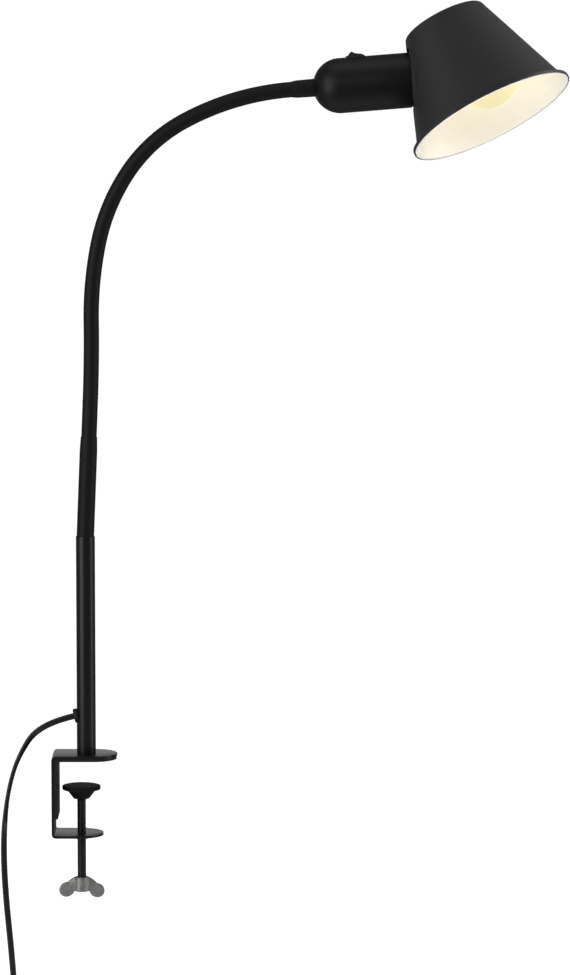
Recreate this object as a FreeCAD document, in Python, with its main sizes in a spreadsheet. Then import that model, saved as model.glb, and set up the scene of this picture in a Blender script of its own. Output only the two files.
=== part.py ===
import FreeCAD, Part
import math
import os
import types
import Sketcher
from FreeCAD import Placement, Rotation, Vector

# Clamp lamp with a sheathed gooseneck, a tubular lampholder housing and a conical shade.
# Millimetres. The origin is the face of the liner that lies on the table, on the axis of the pole.
# +Z is up, +X runs along the jaws to their tips and to the shade, and -Y is the side that the photograph
# shows.

os.makedirs("parts", exist_ok=True)
doc = FreeCAD.newDocument("ClampLamp")

SIZES = {
    # Bracket and liner
    "strap_width": 35.0,
    "steel_thickness": 2.0,
    "bend_radius": 3.0,
    "strap_offset": 25.8,
    "top_jaw_reach": 49.1,
    "lower_jaw_reach": 38.5,
    "jaw_gap": 58.7,
    "liner_thickness": 2.3,
    "liner_leg_thickness": 2.8,
    "liner_drop": 43.6,
    "liner_inset": 0.5,
    # Clamp screw, foot and wing nut
    "screw_setback": 21.9,
    "screw_diameter": 6.0,
    "screw_clearance": 0.05,
    "screw_length": 75.1,
    "collar_diameter": 9.0,
    "collar_length": 3.0,
    "ball_diameter": 8.4,
    "ball_depth": 6.2,
    "screw_neck_diameter": 5.0,
    "screw_neck_length": 6.4,
    "foot_drop": 20.4,
    "foot_diameter": 29.0,
    "foot_rim_height": 2.8,
    "foot_hub_diameter": 18.6,
    "foot_end_diameter": 11.0,
    "foot_height": 10.7,
    "foot_opening": 7.0,
    "wing_barrel_diameter": 11.6,
    "wing_barrel_length": 11.5,
    "wing_reach": 11.3,
    "wing_radius": 5.5,
    "wing_thickness": 3.4,
    "wing_rise": 1.7,
    "wing_root_height": 7.6,
    "wing_rounding": 0.9,
    # Pole and its fixing
    "pole_diameter": 14.3,
    "pole_wall": 1.0,
    "pole_height": 165.0,
    "insert_length": 12.0,
    "pole_screw_diameter": 5.0,
    "pole_screw_length": 12.5,
    "pole_screw_head": 12.0,
    "pole_screw_head_height": 1.5,
    "pole_screw_clearance": 0.2,
    # Cord bush
    "gland_height": 30.2,
    "gland_tilt": 13.0,
    "gland_diameter": 10.8,
    "gland_proud": 2.0,
    "gland_stem": 8.0,
    "gland_stem_depth": 4.6,
    # Gooseneck
    "sheath_diameter": 11.6,
    "sheath_wall": 0.75,
    "hose_insert": 18.0,
    "ferrule_length": 20.0,
    "lead_diameter": 4.7,
    "lead_bend": 4.2,
    "lead_long_bend": 200.0,
    "joint_gap": 0.3,
    "neck_lean": 2.35,
    "neck_first_run": 104.1,
    "neck_pitch": 57.7,
    "neck_last_bend": 26.3,
    "neck_last_run": 16.2,
    "lower_sleeve_length": 75.0,
    "lower_sleeve_diameter": 13.2,
    "lower_sleeve_taper": 10.0,
    "sleeve_lip": 0.35,
    "upper_sleeve_length": 15.5,
    "upper_sleeve_rear": 13.1,
    "upper_sleeve_front": 13.5,
    # Lampholder housing
    "holder_diameter": 41.0,
    "holder_wall": 1.2,
    "holder_length": 51.9,
    "nipple_diameter": 9.9,
    "nipple_length": 9.0,
    "nipple_cup": 10.0,
    "nut_width": 14.0,
    "nut_height": 4.0,
    # Lampholder insert and bulb
    "socket_depth": 22.0,
    "socket_shoulder": 1.0,
    "collar_outer": 34.0,
    "collar_reach": 12.0,
    "socket_floor": 8.0,
    "thread_shell_wall": 0.5,
    "thread_shell_reach": 8.0,
    "cap_diameter": 26.2,
    "cap_wall": 0.5,
    "cap_end_diameter": 12.0,
    "cap_taper": 2.5,
    "contact_diameter": 9.5,
    "contact_height": 0.8,
    "spring_diameter": 7.0,
    "spring_height": 1.2,
    "terminal_head": 5.5,
    "terminal_head_height": 2.0,
    "terminal_shank": 3.0,
    "terminal_shank_length": 4.0,
    "terminal_spacing": 18.0,
    "globe_centre": 55.8,
    "globe_diameter": 51.4,
    "globe_neck_angle": 17.8,
    "glass_wall": 0.8,
    "glass_seat": 2.5,
    # Switch
    "switch_position": 12.7,
    "bezel_length": 14.3,
    "bezel_width": 11.0,
    "bezel_height": 1.0,
    "switch_length": 13.4,
    "switch_width": 9.2,
    "switch_depth": 12.0,
    "rocker_radius": 6.0,
    "rocker_width": 7.0,
    "rocker_clearance": 0.3,
    "rocker_pivot_depth": 1.0,
    "rocker_low": 2.5,
    "rocker_slope": 20.0,
    "rocker_fall": 8.0,
    "rocker_body_depth": 3.2,
    "rocker_pin_diameter": 2.0,
    "pin_clearance": 0.05,
    "blade_width": 4.8,
    "blade_thickness": 0.8,
    "blade_length": 5.5,
    "blade_spacing": 7.0,
    # Shade and its fixing
    "washer_outer": 39.8,
    "washer_thickness": 1.0,
    "seat_gap": 0.1,
    "seat_thickness": 1.0,
    "seat_diameter": 47.6,
    "seat_depth": 13.0,
    "shade_hole_clearance": 0.1,
    "ring_diameter": 43.0,
    "ring_height": 6.0,
    "shade_roll": 18.9,
    "shade_lean": 21.45,
    "shade_top_rise": 31.2,
    "shade_setback": 1.1,
    "shade_top_radius": 31.7,
    "shade_bottom_radius": 60.2,
    "shade_height": 78.3,
    "shade_wall": 0.8,
    "shade_top_rounding": 2.0,
    "shade_lip_radius": 64.0,
    "shade_lip_drop": 1.0,
    "shade_lip_height": 2.2,
    # Cord, coil, tie and plug
    "cord_diameter": 4.7,
    "coil_pitch": 5.2,
    "coil_outer_radius": 31.9,
    "tail_length": 25.0,
    "tie_width": 6.0,
    "tie_thickness": 1.0,
    "tie_slack": 0.35,
    "boot_length": 20.0,
    "boot_start": 6.8,
    "boot_end": 10.0,
    "plug_length": 34.0,
    "plug_width": 35.3,
    "plug_face_length": 9.0,
    "plug_back_width": 17.0,
    "plug_thickness": 13.7,
    "plug_corner": 3.5,
    "plug_pin_diameter": 4.0,
    "plug_pin_length": 19.0,
    "plug_pin_spacing": 18.6,
    "plug_pin_seat": 8.0,
}

# How much each stretch of the neck turns down between two of its pivots, in degrees, and the last bend
NECK_TURNS = [-2.9, 11.9, 22.1, 28.0, 16.7]
LAST_TURN = 7.3

# The hanging cord after its first run out of the bush, as x and z of each point of the route
CORD_POINTS = [
    (-52.0, 0.9),
    (-59.5, -25.4),
    (-62.7, -53.5),
    (-62.9, -81.6),
    (-61.3, -109.5),
    (-58.6, -137.8),
    (-56.3, -165.4),
    (-55.2, -188.5),
    (-55.2, -210.3),
]
CORD_FIRST_RUN = 27.0
COIL_QUARTERS_PER_LAYER = 9
COIL_LAYERS = 4

# The sheet of sizes, one cell and one alias each
sheet = doc.addObject("Spreadsheet::Sheet", "Sizes")
for row, (name, value) in enumerate(SIZES.items(), start=1):
    sheet.set("A%d" % row, str(value))
    sheet.setAlias("A%d" % row, name)
doc.recompute()


# A size carries its number and the formula that binds a property to the sheet
class Size:
    def __init__(self, value, text=None):
        self.value = float(value)
        self.text = "(%r)" % self.value if text is None else text

    def __add__(self, other):
        other = as_size(other)
        return Size(self.value + other.value, "(%s + %s)" % (self.text, other.text))

    def __sub__(self, other):
        other = as_size(other)
        return Size(self.value - other.value, "(%s - %s)" % (self.text, other.text))

    def __mul__(self, other):
        other = as_size(other)
        return Size(self.value * other.value, "(%s * %s)" % (self.text, other.text))

    def __truediv__(self, other):
        other = as_size(other)
        return Size(self.value / other.value, "(%s / %s)" % (self.text, other.text))

    def __radd__(self, other):
        return as_size(other) + self

    def __rsub__(self, other):
        return as_size(other) - self

    def __rmul__(self, other):
        return as_size(other) * self

    def __neg__(self):
        return Size(-self.value, "(0 - %s)" % self.text)

    def __float__(self):
        return self.value


def as_size(number):
    return number if isinstance(number, Size) else Size(number)


def sine(angle):
    return Size(math.sin(math.radians(angle.value)), "sin(%s * 1 deg)" % angle.text)


def cosine(angle):
    return Size(math.cos(math.radians(angle.value)), "cos(%s * 1 deg)" % angle.text)


def tangent(angle):
    return Size(math.tan(math.radians(angle.value)), "tan(%s * 1 deg)" % angle.text)


def root(square):
    return Size(math.sqrt(square.value), "sqrt(%s)" % square.text)


s = types.SimpleNamespace()
for row, name in enumerate(SIZES, start=1):
    setattr(s, name, Size(sheet.get("A%d" % row), "Sizes.%s" % name))

ALONG_Z = Rotation()
ALONG_X = Rotation(Vector(0, 1, 0), 90)
ALONG_Y = Rotation(Vector(1, 0, 0), -90)
nodes = []


def bind(thing, prop, number):
    number = as_size(number)
    setattr(thing, prop, number.value)
    if "Sizes." in number.text:
        thing.setExpression(prop, number.text)


def place(thing, at, turn):
    numbers = [as_size(n) for n in at]
    thing.Placement = Placement(Vector(*[n.value for n in numbers]), turn)
    for axis, number in zip("xyz", numbers):
        if "Sizes." in number.text:
            thing.setExpression("Placement.Base.%s" % axis, number.text)
    return thing


def cylinder(name, radius, height, at=(0, 0, 0), turn=ALONG_Z):
    thing = doc.addObject("Part::Cylinder", name)
    bind(thing, "Radius", radius)
    bind(thing, "Height", height)
    return place(thing, at, turn)


def cone(name, start_radius, end_radius, height, at=(0, 0, 0), turn=ALONG_Z):
    thing = doc.addObject("Part::Cone", name)
    bind(thing, "Radius1", start_radius)
    bind(thing, "Radius2", end_radius)
    bind(thing, "Height", height)
    return place(thing, at, turn)


def sphere(name, radius, at=(0, 0, 0), lowest=-90.0, highest=90.0):
    thing = doc.addObject("Part::Sphere", name)
    bind(thing, "Radius", radius)
    bind(thing, "Angle1", lowest)
    bind(thing, "Angle2", highest)
    return place(thing, at, ALONG_Z)


def box(name, length, width, height, at=(0, 0, 0)):
    thing = doc.addObject("Part::Box", name)
    bind(thing, "Length", length)
    bind(thing, "Width", width)
    bind(thing, "Height", height)
    return place(thing, at, ALONG_Z)


def joined(name, pieces):
    thing = doc.addObject("Part::MultiFuse", name)
    thing.Shapes = pieces
    thing.Refine = True
    return thing


def cut(name, base, tool):
    thing = doc.addObject("Part::Cut", name)
    thing.Base = base
    thing.Tool = tool
    thing.Refine = True
    return thing


def common(name, base, tool):
    thing = doc.addObject("Part::Common", name)
    thing.Base = base
    thing.Tool = tool
    thing.Refine = True
    return thing


# A closed outline in a sketch, each corner tied to the sheet by its two distances from the origin
def outline(body, plane, corners):
    sketch = body.newObject("Sketcher::SketchObject", body.Name + "_outline")
    origin_plane = [f for f in body.Origin.OriginFeatures if f.Role == plane][0]
    sketch.AttachmentSupport = [(origin_plane, "")]
    sketch.MapMode = "FlatFace"
    corners = [(as_size(x), as_size(y)) for x, y in corners]
    count = len(corners)
    for i, (x, y) in enumerate(corners):
        x2, y2 = corners[(i + 1) % count]
        line = Part.LineSegment(Vector(x.value, y.value, 0), Vector(x2.value, y2.value, 0))
        sketch.addGeometry(line, False)
    for i in range(count):
        sketch.addConstraint(Sketcher.Constraint("Coincident", i, 2, (i + 1) % count, 1))
    for i, corner in enumerate(corners):
        for kind, letter, number in zip(("DistanceX", "DistanceY"), "xy", corner):
            place_of = sketch.addConstraint(Sketcher.Constraint(kind, -1, 1, i, 1, number.value))
            sketch.renameConstraint(place_of, "%s%d" % (letter, i))
            if "Sizes." in number.text:
                sketch.setExpression("Constraints.%s%d" % (letter, i), number.text)
    return sketch


# A piece turned about Z from an outline of radii and heights
def turned(name, corners, at=(0, 0, 0)):
    body = doc.addObject("PartDesign::Body", name)
    sketch = outline(body, "XZ_Plane", corners)
    feature = body.newObject("PartDesign::Revolution", name + "_turn")
    feature.Profile = sketch
    feature.ReferenceAxis = (sketch, ["V_Axis"])
    feature.Angle = 360
    return place(body, at, ALONG_Z)


# A flat piece of an even thickness, grown to both sides of its plane
def padded(name, plane, corners, thickness, at=(0, 0, 0)):
    body = doc.addObject("PartDesign::Body", name)
    sketch = outline(body, plane, corners)
    feature = body.newObject("PartDesign::Pad", name + "_pad")
    feature.Profile = sketch
    feature.SideType = "Symmetric"
    bind(feature, "Length", thickness)
    return place(body, at, ALONG_Z)


# Straight edges along an axis that pass through the given points
def edges_along(shape, axis, points):
    found = []
    for number, edge in enumerate(shape.Edges, start=1):
        ends = [v.Point for v in edge.Vertexes]
        if len(ends) < 2 or (ends[1] - ends[0]).cross(axis).Length > 1e-4:
            continue
        for point in points:
            if (point - ends[0]).cross(axis).Length < 0.02:
                found.append("Edge%d" % number)
    return found


def round_body(body, name, edges, radius):
    smooth = body.Tip
    feature = body.newObject("PartDesign::Fillet", name)
    feature.Base = (smooth, edges)
    bind(feature, "Radius", radius)
    doc.recompute()


def keep(thing, frame=None):
    if frame is not None:
        thing.Placement = frame
    nodes.append(thing)
    return thing


def keep_shape(name, shape):
    thing = doc.addObject("Part::Feature", name)
    thing.Shape = shape
    thing.Placement = Placement()
    nodes.append(thing)
    return thing


# Levels and stations of the clamp
jaw_bottom = s.liner_thickness
jaw_top = jaw_bottom + s.steel_thickness
strap_outside = -s.strap_offset
strap_inside = strap_outside + s.steel_thickness
top_tip = strap_outside + s.top_jaw_reach
lower_tip = strap_outside + s.lower_jaw_reach
lower_top = jaw_bottom - s.jaw_gap
lower_bottom = lower_top - s.steel_thickness
inner_bend = s.bend_radius - s.steel_thickness
half_strap = s.strap_width / 2
screw_x = strap_outside + s.screw_setback

# Bracket: one strip of steel bent into a C, its jaws ending in half rounds
strip = padded("bracket_strip", "XZ_Plane", [
    (top_tip, jaw_bottom),
    (top_tip, jaw_top),
    (strap_outside, jaw_top),
    (strap_outside, lower_bottom),
    (lower_tip, lower_bottom),
    (lower_tip, lower_top),
    (strap_inside, lower_top),
    (strap_inside, jaw_bottom),
], s.strap_width)
doc.recompute()
y_axis = Vector(0, 1, 0)
z_axis = Vector(0, 0, 1)
outer_corners = [Vector(strap_outside.value, 0, z.value) for z in (jaw_top, lower_bottom)]
round_body(strip, "outer_bends", edges_along(strip.Shape, y_axis, outer_corners), s.bend_radius)
inner_corners = [Vector(strap_inside.value, 0, z.value) for z in (jaw_bottom, lower_top)]
round_body(strip, "inner_bends", edges_along(strip.Shape, y_axis, inner_corners), inner_bend)
tip_corners = [Vector(x.value, side * half_strap.value, 0)
               for x in (top_tip, lower_tip) for side in (1, -1)]
round_body(strip, "jaw_ends", edges_along(strip.Shape, z_axis, tip_corners), half_strap - 0.05)
collar = cylinder("screw_collar", s.collar_diameter / 2, s.collar_length + s.steel_thickness,
                  (screw_x, 0, lower_bottom - s.collar_length))
bracket_solid = joined("bracket_with_collar", [strip, collar])
tapped_hole = cylinder("tapped_hole", s.screw_diameter / 2 + s.screw_clearance,
                       s.collar_length + s.steel_thickness + 2,
                       (screw_x, 0, lower_bottom - s.collar_length - 1))
pole_screw_hole = cylinder("pole_screw_hole", s.pole_screw_diameter / 2 + s.pole_screw_clearance,
                           s.steel_thickness + 2, (0, 0, jaw_bottom - 1))
keep(cut("clamp_bracket", bracket_solid, joined("bracket_holes", [tapped_hole, pole_screw_hole])))

# Liner: an L of plastic under the upper jaw and down the strap, with a blind pocket for the screw's head
liner_tip = top_tip - s.liner_inset
liner_leg_face = strap_inside + s.liner_leg_thickness
liner_body = padded("liner_body", "XZ_Plane", [
    (liner_tip, jaw_bottom),
    (strap_inside, jaw_bottom),
    (strap_inside, -s.liner_drop),
    (liner_leg_face, -s.liner_drop),
    (liner_leg_face, 0),
    (liner_tip, 0),
], s.strap_width - s.liner_inset * 2)
doc.recompute()
corner = [Vector(strap_inside.value, 0, jaw_bottom.value)]
round_body(liner_body, "liner_bend", edges_along(liner_body.Shape, y_axis, corner), inner_bend)
half_liner = half_strap - s.liner_inset
liner_ends = [Vector(liner_tip.value, side * half_liner.value, 0) for side in (1, -1)]
round_body(liner_body, "liner_end", edges_along(liner_body.Shape, z_axis, liner_ends), half_liner - 0.05)
head_pocket = cylinder("head_pocket", s.pole_screw_head / 2 + s.pole_screw_clearance,
                       s.pole_screw_head_height + 1, (0, 0, jaw_bottom - s.pole_screw_head_height - 0.1))
keep(cut("clamp_liner", liner_body, head_pocket))

# Foot: a round pad with a hub that is closed round the ball of the screw
foot_top = -s.foot_drop
foot_shoulder = foot_top - s.foot_rim_height
foot_bottom = foot_top - s.foot_height
ball_z = foot_top - s.ball_depth
foot_solid = turned("foot_solid", [
    (0, foot_top),
    (s.foot_diameter / 2, foot_top),
    (s.foot_diameter / 2, foot_shoulder),
    (s.foot_hub_diameter / 2, foot_shoulder),
    (s.foot_end_diameter / 2, foot_bottom),
    (0, foot_bottom),
], (screw_x, 0, 0))
ball_socket = sphere("ball_socket", s.ball_diameter / 2 + s.screw_clearance, (screw_x, 0, ball_z))
foot_mouth = cylinder("foot_mouth", s.foot_opening / 2, s.foot_height - s.ball_depth + 1,
                      (screw_x, 0, foot_bottom - 1))
keep(cut("pressure_foot", foot_solid, joined("foot_hollow", [ball_socket, foot_mouth])))

# Clamp screw: ball, neck and threaded shank
screw_end = ball_z - s.screw_length
shank_top = ball_z - s.screw_neck_length
screw_ball = sphere("screw_ball", s.ball_diameter / 2, (screw_x, 0, ball_z))
screw_neck = cylinder("screw_neck", s.screw_neck_diameter / 2, s.screw_neck_length,
                      (screw_x, 0, shank_top))
screw_shank = cylinder("screw_shank", s.screw_diameter / 2, shank_top - screw_end, (screw_x, 0, screw_end))
keep(joined("clamp_screw", [screw_ball, screw_neck, screw_shank]))

# Wing nut: a barrel with two flat round wings, fixed on the screw's lower end
barrel_bottom = screw_end - 0.5
wing_z = barrel_bottom + s.wing_rise
barrel = cylinder("wing_barrel", s.wing_barrel_diameter / 2, s.wing_barrel_length,
                  (screw_x, 0, barrel_bottom))
wing_pieces = [barrel]
for side, tag in ((1, "right"), (-1, "left")):
    wing_x = screw_x + side * s.wing_reach
    lobe = cylinder("wing_lobe_" + tag, s.wing_radius, s.wing_thickness,
                    (wing_x, -s.wing_thickness / 2, wing_z),
                    ALONG_Y)
    doc.recompute()
    soft_lobe = doc.addObject("Part::Fillet", "wing_" + tag)
    soft_lobe.Base = lobe
    soft_lobe.Edges = [(number, s.wing_rounding.value, s.wing_rounding.value)
                       for number, edge in enumerate(lobe.Shape.Edges, start=1) if len(edge.Vertexes) == 1]
    root_x = screw_x if side > 0 else screw_x - s.wing_reach
    wing_root = box("wing_root_" + tag, s.wing_reach, s.wing_thickness - 0.8, s.wing_root_height,
                    (root_x, 0.4 - s.wing_thickness / 2, wing_z - s.wing_root_height / 2))
    wing_pieces += [soft_lobe, wing_root]
wing_bore = cylinder("wing_bore", s.screw_diameter / 2, s.wing_barrel_length + 2,
                     (screw_x, 0, barrel_bottom - 1))
keep(cut("wing_nut", joined("wing_casting", wing_pieces), wing_bore))

# Pole, its tapped insert and the low-headed screw under the jaw
pole_radius = s.pole_diameter / 2
pole_bore = pole_radius - s.pole_wall
pole_top = jaw_top + s.pole_height
pole_tube = turned("pole_tube", [
    (pole_bore, jaw_top),
    (pole_radius, jaw_top),
    (pole_radius, pole_top),
    (pole_bore, pole_top),
])
gland_z = jaw_top + s.gland_height
gland_lean = math.radians(s.gland_tilt.value)
gland_way = Vector(-math.cos(gland_lean), 0, -math.sin(gland_lean))
gland_turn = Rotation(Vector(0, 0, 1), gland_way)
gland_reach = (pole_radius + s.gland_proud) / cosine(s.gland_tilt)
side_hole = cylinder("side_hole", s.gland_stem / 2, gland_reach + 5, (0, 0, gland_z), gland_turn)
keep(cut("pole", pole_tube, side_hole))
keep(turned("pole_insert", [
    (s.pole_screw_diameter / 2, jaw_top),
    (pole_bore, jaw_top),
    (pole_bore, jaw_top + s.insert_length),
    (s.pole_screw_diameter / 2, jaw_top + s.insert_length),
]))
keep(turned("pole_screw", [
    (0, jaw_bottom - s.pole_screw_head_height),
    (s.pole_screw_head / 2, jaw_bottom - s.pole_screw_head_height),
    (s.pole_screw_head / 2, jaw_bottom),
    (s.pole_screw_diameter / 2, jaw_bottom),
    (s.pole_screw_diameter / 2, jaw_bottom + s.pole_screw_length),
    (0, jaw_bottom + s.pole_screw_length),
]))

# Cord bush in the pole's side: a flange that saddles the tube and a stem through its wall
gland_flange = cylinder("gland_flange", s.gland_diameter / 2, gland_reach, (0, 0, gland_z), gland_turn)
pole_core = cylinder("pole_core", pole_radius, s.gland_height * 2, (0, 0, jaw_top))
gland_saddle = cut("gland_saddle", gland_flange, pole_core)
stem_length = gland_reach - 0.5 - s.gland_stem_depth
gland_stem = cylinder("gland_stem_piece", s.gland_stem / 2, stem_length, (0, 0, gland_z), gland_turn)
gland_stem.Placement.Base = Vector(0, 0, gland_z.value) + gland_way * s.gland_stem_depth.value
gland_stem.setExpression("Placement.Base.x", (-s.gland_stem_depth * cosine(s.gland_tilt)).text)
gland_stem.setExpression("Placement.Base.z", (gland_z - s.gland_stem_depth * sine(s.gland_tilt)).text)
keep(joined("cord_gland", [gland_saddle, gland_stem]))


# Directions in the plane of the neck for a heading in degrees above the horizontal
def along(heading):
    return Vector(math.cos(math.radians(heading)), 0, math.sin(math.radians(heading)))


def droop(heading):
    return Vector(math.sin(math.radians(heading)), 0, -math.cos(math.radians(heading)))


# One stretch of the neck: its start, its heading there, its length and how far it turns down
class Stretch:
    def __init__(self, start, heading, length, turn):
        self.start, self.heading, self.length, self.turn = start, heading, length, turn
        self.end_heading = heading - turn
        if abs(turn) < 0.01:
            self.centre = None
            self.end = start + along(heading) * length
        else:
            radius = length / math.radians(turn)
            self.centre = start + droop(heading) * radius
            self.end = self.centre - droop(self.end_heading) * radius

    def sweep(self, face):
        if self.centre is None:
            return face.extrude(along(self.heading) * self.length)
        return face.revolve(self.centre, Vector(0, 1, 0), self.turn)


def ring_face(centre, way, outer, inner):
    wires = [Part.Wire(Part.makeCircle(outer, centre, way))]
    if inner > 0:
        wires.append(Part.Wire(Part.makeCircle(inner, centre, way)))
    return Part.makeFace(wires, "Part::FaceMakerBullseye")


# The stretches between the pivots, from the pole's top to the rear of the housing
neck_root = Vector(0, 0, pole_top.value)
links = [[Stretch(neck_root, 90 - s.neck_lean.value, s.neck_first_run.value, 0.0)]]
for turn in NECK_TURNS:
    last = links[-1][-1]
    links.append([Stretch(last.end, last.end_heading, s.neck_pitch.value, turn)])
last = links[-1][-1]
last_bend = Stretch(last.end, last.end_heading, s.neck_last_bend.value, LAST_TURN)
links.append([last_bend, Stretch(last_bend.end, last_bend.end_heading, s.neck_last_run.value, 0.0)])
neck_end = links[-1][-1].end
head_heading = links[-1][-1].end_heading

sheath_radius = s.sheath_diameter.value / 2
hose_radius = sheath_radius - s.sheath_wall.value
seat_radius = sheath_radius + s.joint_gap.value


# A tube along a link. Its lower end is part of a ball about the pivot, its upper end a socket for the next
def neck_piece(link, outer, inner, ball, socket):
    first = link[0]
    pieces = [part.sweep(ring_face(part.start, along(part.heading), outer, inner)) for part in link]
    if ball:
        way = along(first.heading)
        below = first.start - way * sheath_radius
        cap = ring_face(below, way, outer, inner).extrude(way * sheath_radius)
        pieces.append(cap.common(Part.makeSphere(sheath_radius, first.start, way)))
    shape = pieces[0]
    if len(pieces) > 1:
        shape = pieces[0].fuse(pieces[1:]).removeSplitter()
    if socket:
        shape = shape.cut(Part.makeSphere(seat_radius, link[-1].end, along(link[-1].end_heading)))
    return shape


trim = s.pole_diameter * 4


def below_pole_top():
    size = trim.value
    return Part.makeBox(size, size, size, Vector(-size / 2, -size / 2, pole_top.value - size))


# The housing: its own frame has its origin at the centre of the domed end and Z along the tube
tube_way = along(head_heading)
up_way = Vector(-tube_way.z, 0, tube_way.x)
holder_radius = s.holder_diameter / 2
holder_bore = holder_radius - s.holder_wall
dome_centre = neck_end + tube_way * holder_radius.value
head_turn = Rotation(up_way, tube_way.cross(up_way), tube_way, "ZXY")
head = Placement(dome_centre, head_turn)

# The lead inside the pole bends up from the bush and runs into the hose
lead_radius = s.lead_diameter.value / 2


def rounded_path(points, radii):
    edges = []
    here = points[0]
    for before, point, after, radius in zip(points, points[1:], points[2:], radii):
        u = (before - point).normalize()
        v = (after - point).normalize()
        half = u.getAngle(v) / 2
        reach = radius / math.tan(half)
        entry = point + u * reach
        leave = point + v * reach
        middle_way = (u + v).normalize()
        middle = point + middle_way * (radius / math.sin(half) - radius)
        if (entry - here).Length > 1e-6:
            edges.append(Part.LineSegment(here, entry).toShape())
        edges.append(Part.Arc(entry, middle, leave).toShape())
        here = leave
    if (points[-1] - here).Length > 1e-6:
        edges.append(Part.LineSegment(here, points[-1]).toShape())
    return Part.Wire(edges)


def tube_on(path, radius, start, way):
    ring = Part.Wire(Part.makeCircle(radius, start, way))
    return path.makePipeShell([ring], True, False)


lead_x = -1.0
lead_start = Vector(0, 0, gland_z.value) + gland_way * s.gland_stem_depth.value
lead_corner = lead_start - gland_way * ((lead_start.x - lead_x) / gland_way.x)
lean_slope = math.tan(math.radians(s.neck_lean.value))
lead_join = Vector(lead_x, 0, pole_top.value + lead_x / lean_slope)
first_pivot = links[0][0].end
lead_path = rounded_path([lead_start, lead_corner, lead_join, first_pivot],
                         [s.lead_bend.value, s.lead_long_bend.value])
lead_tube = tube_on(lead_path, lead_radius, lead_start, gland_way * -1)
first_seat = Part.makeSphere(seat_radius, first_pivot, along(links[0][0].heading))
keep_shape("lead_0", lead_tube.cut(first_seat))

# Neck, link by link: the lead, the steel hose round it and the sheath over that
first_way = along(links[0][0].heading)
hose_start = Stretch(neck_root - first_way * s.hose_insert.value, links[0][0].heading,
                     s.neck_first_run.value + s.hose_insert.value, 0.0)
sheath_start = Stretch(neck_root - first_way * 1.0, links[0][0].heading, s.neck_first_run.value + 1.0, 0.0)
for number, link in enumerate(links):
    is_last = number == len(links) - 1
    hose_link = lead_link = sheath_link = link
    if number == 0:
        hose_link, sheath_link = [hose_start], [sheath_start]
    if is_last:
        tail = link[-1]
        sheath_link = [link[0], Stretch(tail.start, tail.heading, tail.length - s.nipple_cup.value, 0.0)]
        lead_run = tail.length + holder_radius.value + s.holder_length.value - s.socket_depth.value
        lead_link = [link[0], Stretch(tail.start, tail.heading, lead_run, 0.0)]
    sheath = neck_piece(sheath_link, sheath_radius, hose_radius, number > 0, not is_last)
    if number == 0:
        sheath = sheath.cut(below_pole_top())
    else:
        keep_shape("lead_%d" % number, neck_piece(lead_link, lead_radius, 0, True, not is_last))
    keep_shape("neck_hose_%d" % number,
               neck_piece(hose_link, hose_radius, lead_radius, number > 0, not is_last))
    keep_shape("neck_sheath_%d" % number, sheath)

# Ferrule that grips the hose in the pole's top
ferrule_solid = cylinder("ferrule_solid", pole_bore, s.ferrule_length, (0, 0, pole_top - s.ferrule_length))
hose_space = cylinder("hose_space", s.sheath_diameter / 2 - s.sheath_wall, s.ferrule_length * 2, (0, 0, 0),
                      Rotation(Vector(0, 0, 1), first_way))
hose_space.Placement.Base = neck_root - first_way * (s.ferrule_length.value * 1.5)
keep(cut("hose_ferrule", ferrule_solid, hose_space))

# Lower sleeve, slipped over the neck and standing on the pole's rim
sleeve_bore = s.sheath_diameter / 2
sleeve_body = turned("sleeve_body", [
    (sleeve_bore, -1),
    (s.lower_sleeve_diameter / 2, -1),
    (s.lower_sleeve_diameter / 2, s.lower_sleeve_length - s.lower_sleeve_taper),
    (sleeve_bore + s.sleeve_lip, s.lower_sleeve_length),
    (sleeve_bore, s.lower_sleeve_length),
])
sleeve_body.Placement = Placement(neck_root, Rotation(Vector(0, 0, 1), first_way))
sleeve_trim = box("sleeve_trim", trim, trim, trim, (-trim / 2, -trim / 2, pole_top - trim))
keep(cut("lower_sleeve", sleeve_body, sleeve_trim))

# Upper sleeve, hollowed at its front to the dome
neck_back = -holder_radius
upper_body = turned("upper_body", [
    (sleeve_bore, neck_back - s.upper_sleeve_length),
    (s.upper_sleeve_rear / 2, neck_back - s.upper_sleeve_length),
    (s.upper_sleeve_front / 2, neck_back + 2),
    (sleeve_bore, neck_back + 2),
])
keep(cut("upper_sleeve", upper_body, sphere("sleeve_seat", holder_radius)), head)

# Housing shell: tube with a domed rear, a hole for the nipple and a cut-out for the switch
front = s.holder_length
shell_solid = joined("shell_solid", [
    sphere("dome_outside", holder_radius, highest=0.0),
    cylinder("tube_outside", holder_radius, front),
])
shell_hollow = joined("shell_hollow", [
    sphere("dome_inside", holder_bore, highest=0.0),
    cylinder("tube_inside", holder_bore, front + 1),
])
nipple_hole = cylinder("nipple_hole", s.nipple_diameter / 2, s.holder_diameter / 2,
                       (0, 0, -holder_radius - 1))
switch_cutout = box("switch_cutout", holder_radius, s.switch_width, s.switch_length,
                    (holder_radius / 2, -s.switch_width / 2, s.switch_position - s.switch_length / 2))
shell_openings = joined("shell_openings", [shell_hollow, nipple_hole, switch_cutout])
keep(cut("holder_shell", shell_solid, shell_openings), head)

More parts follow.
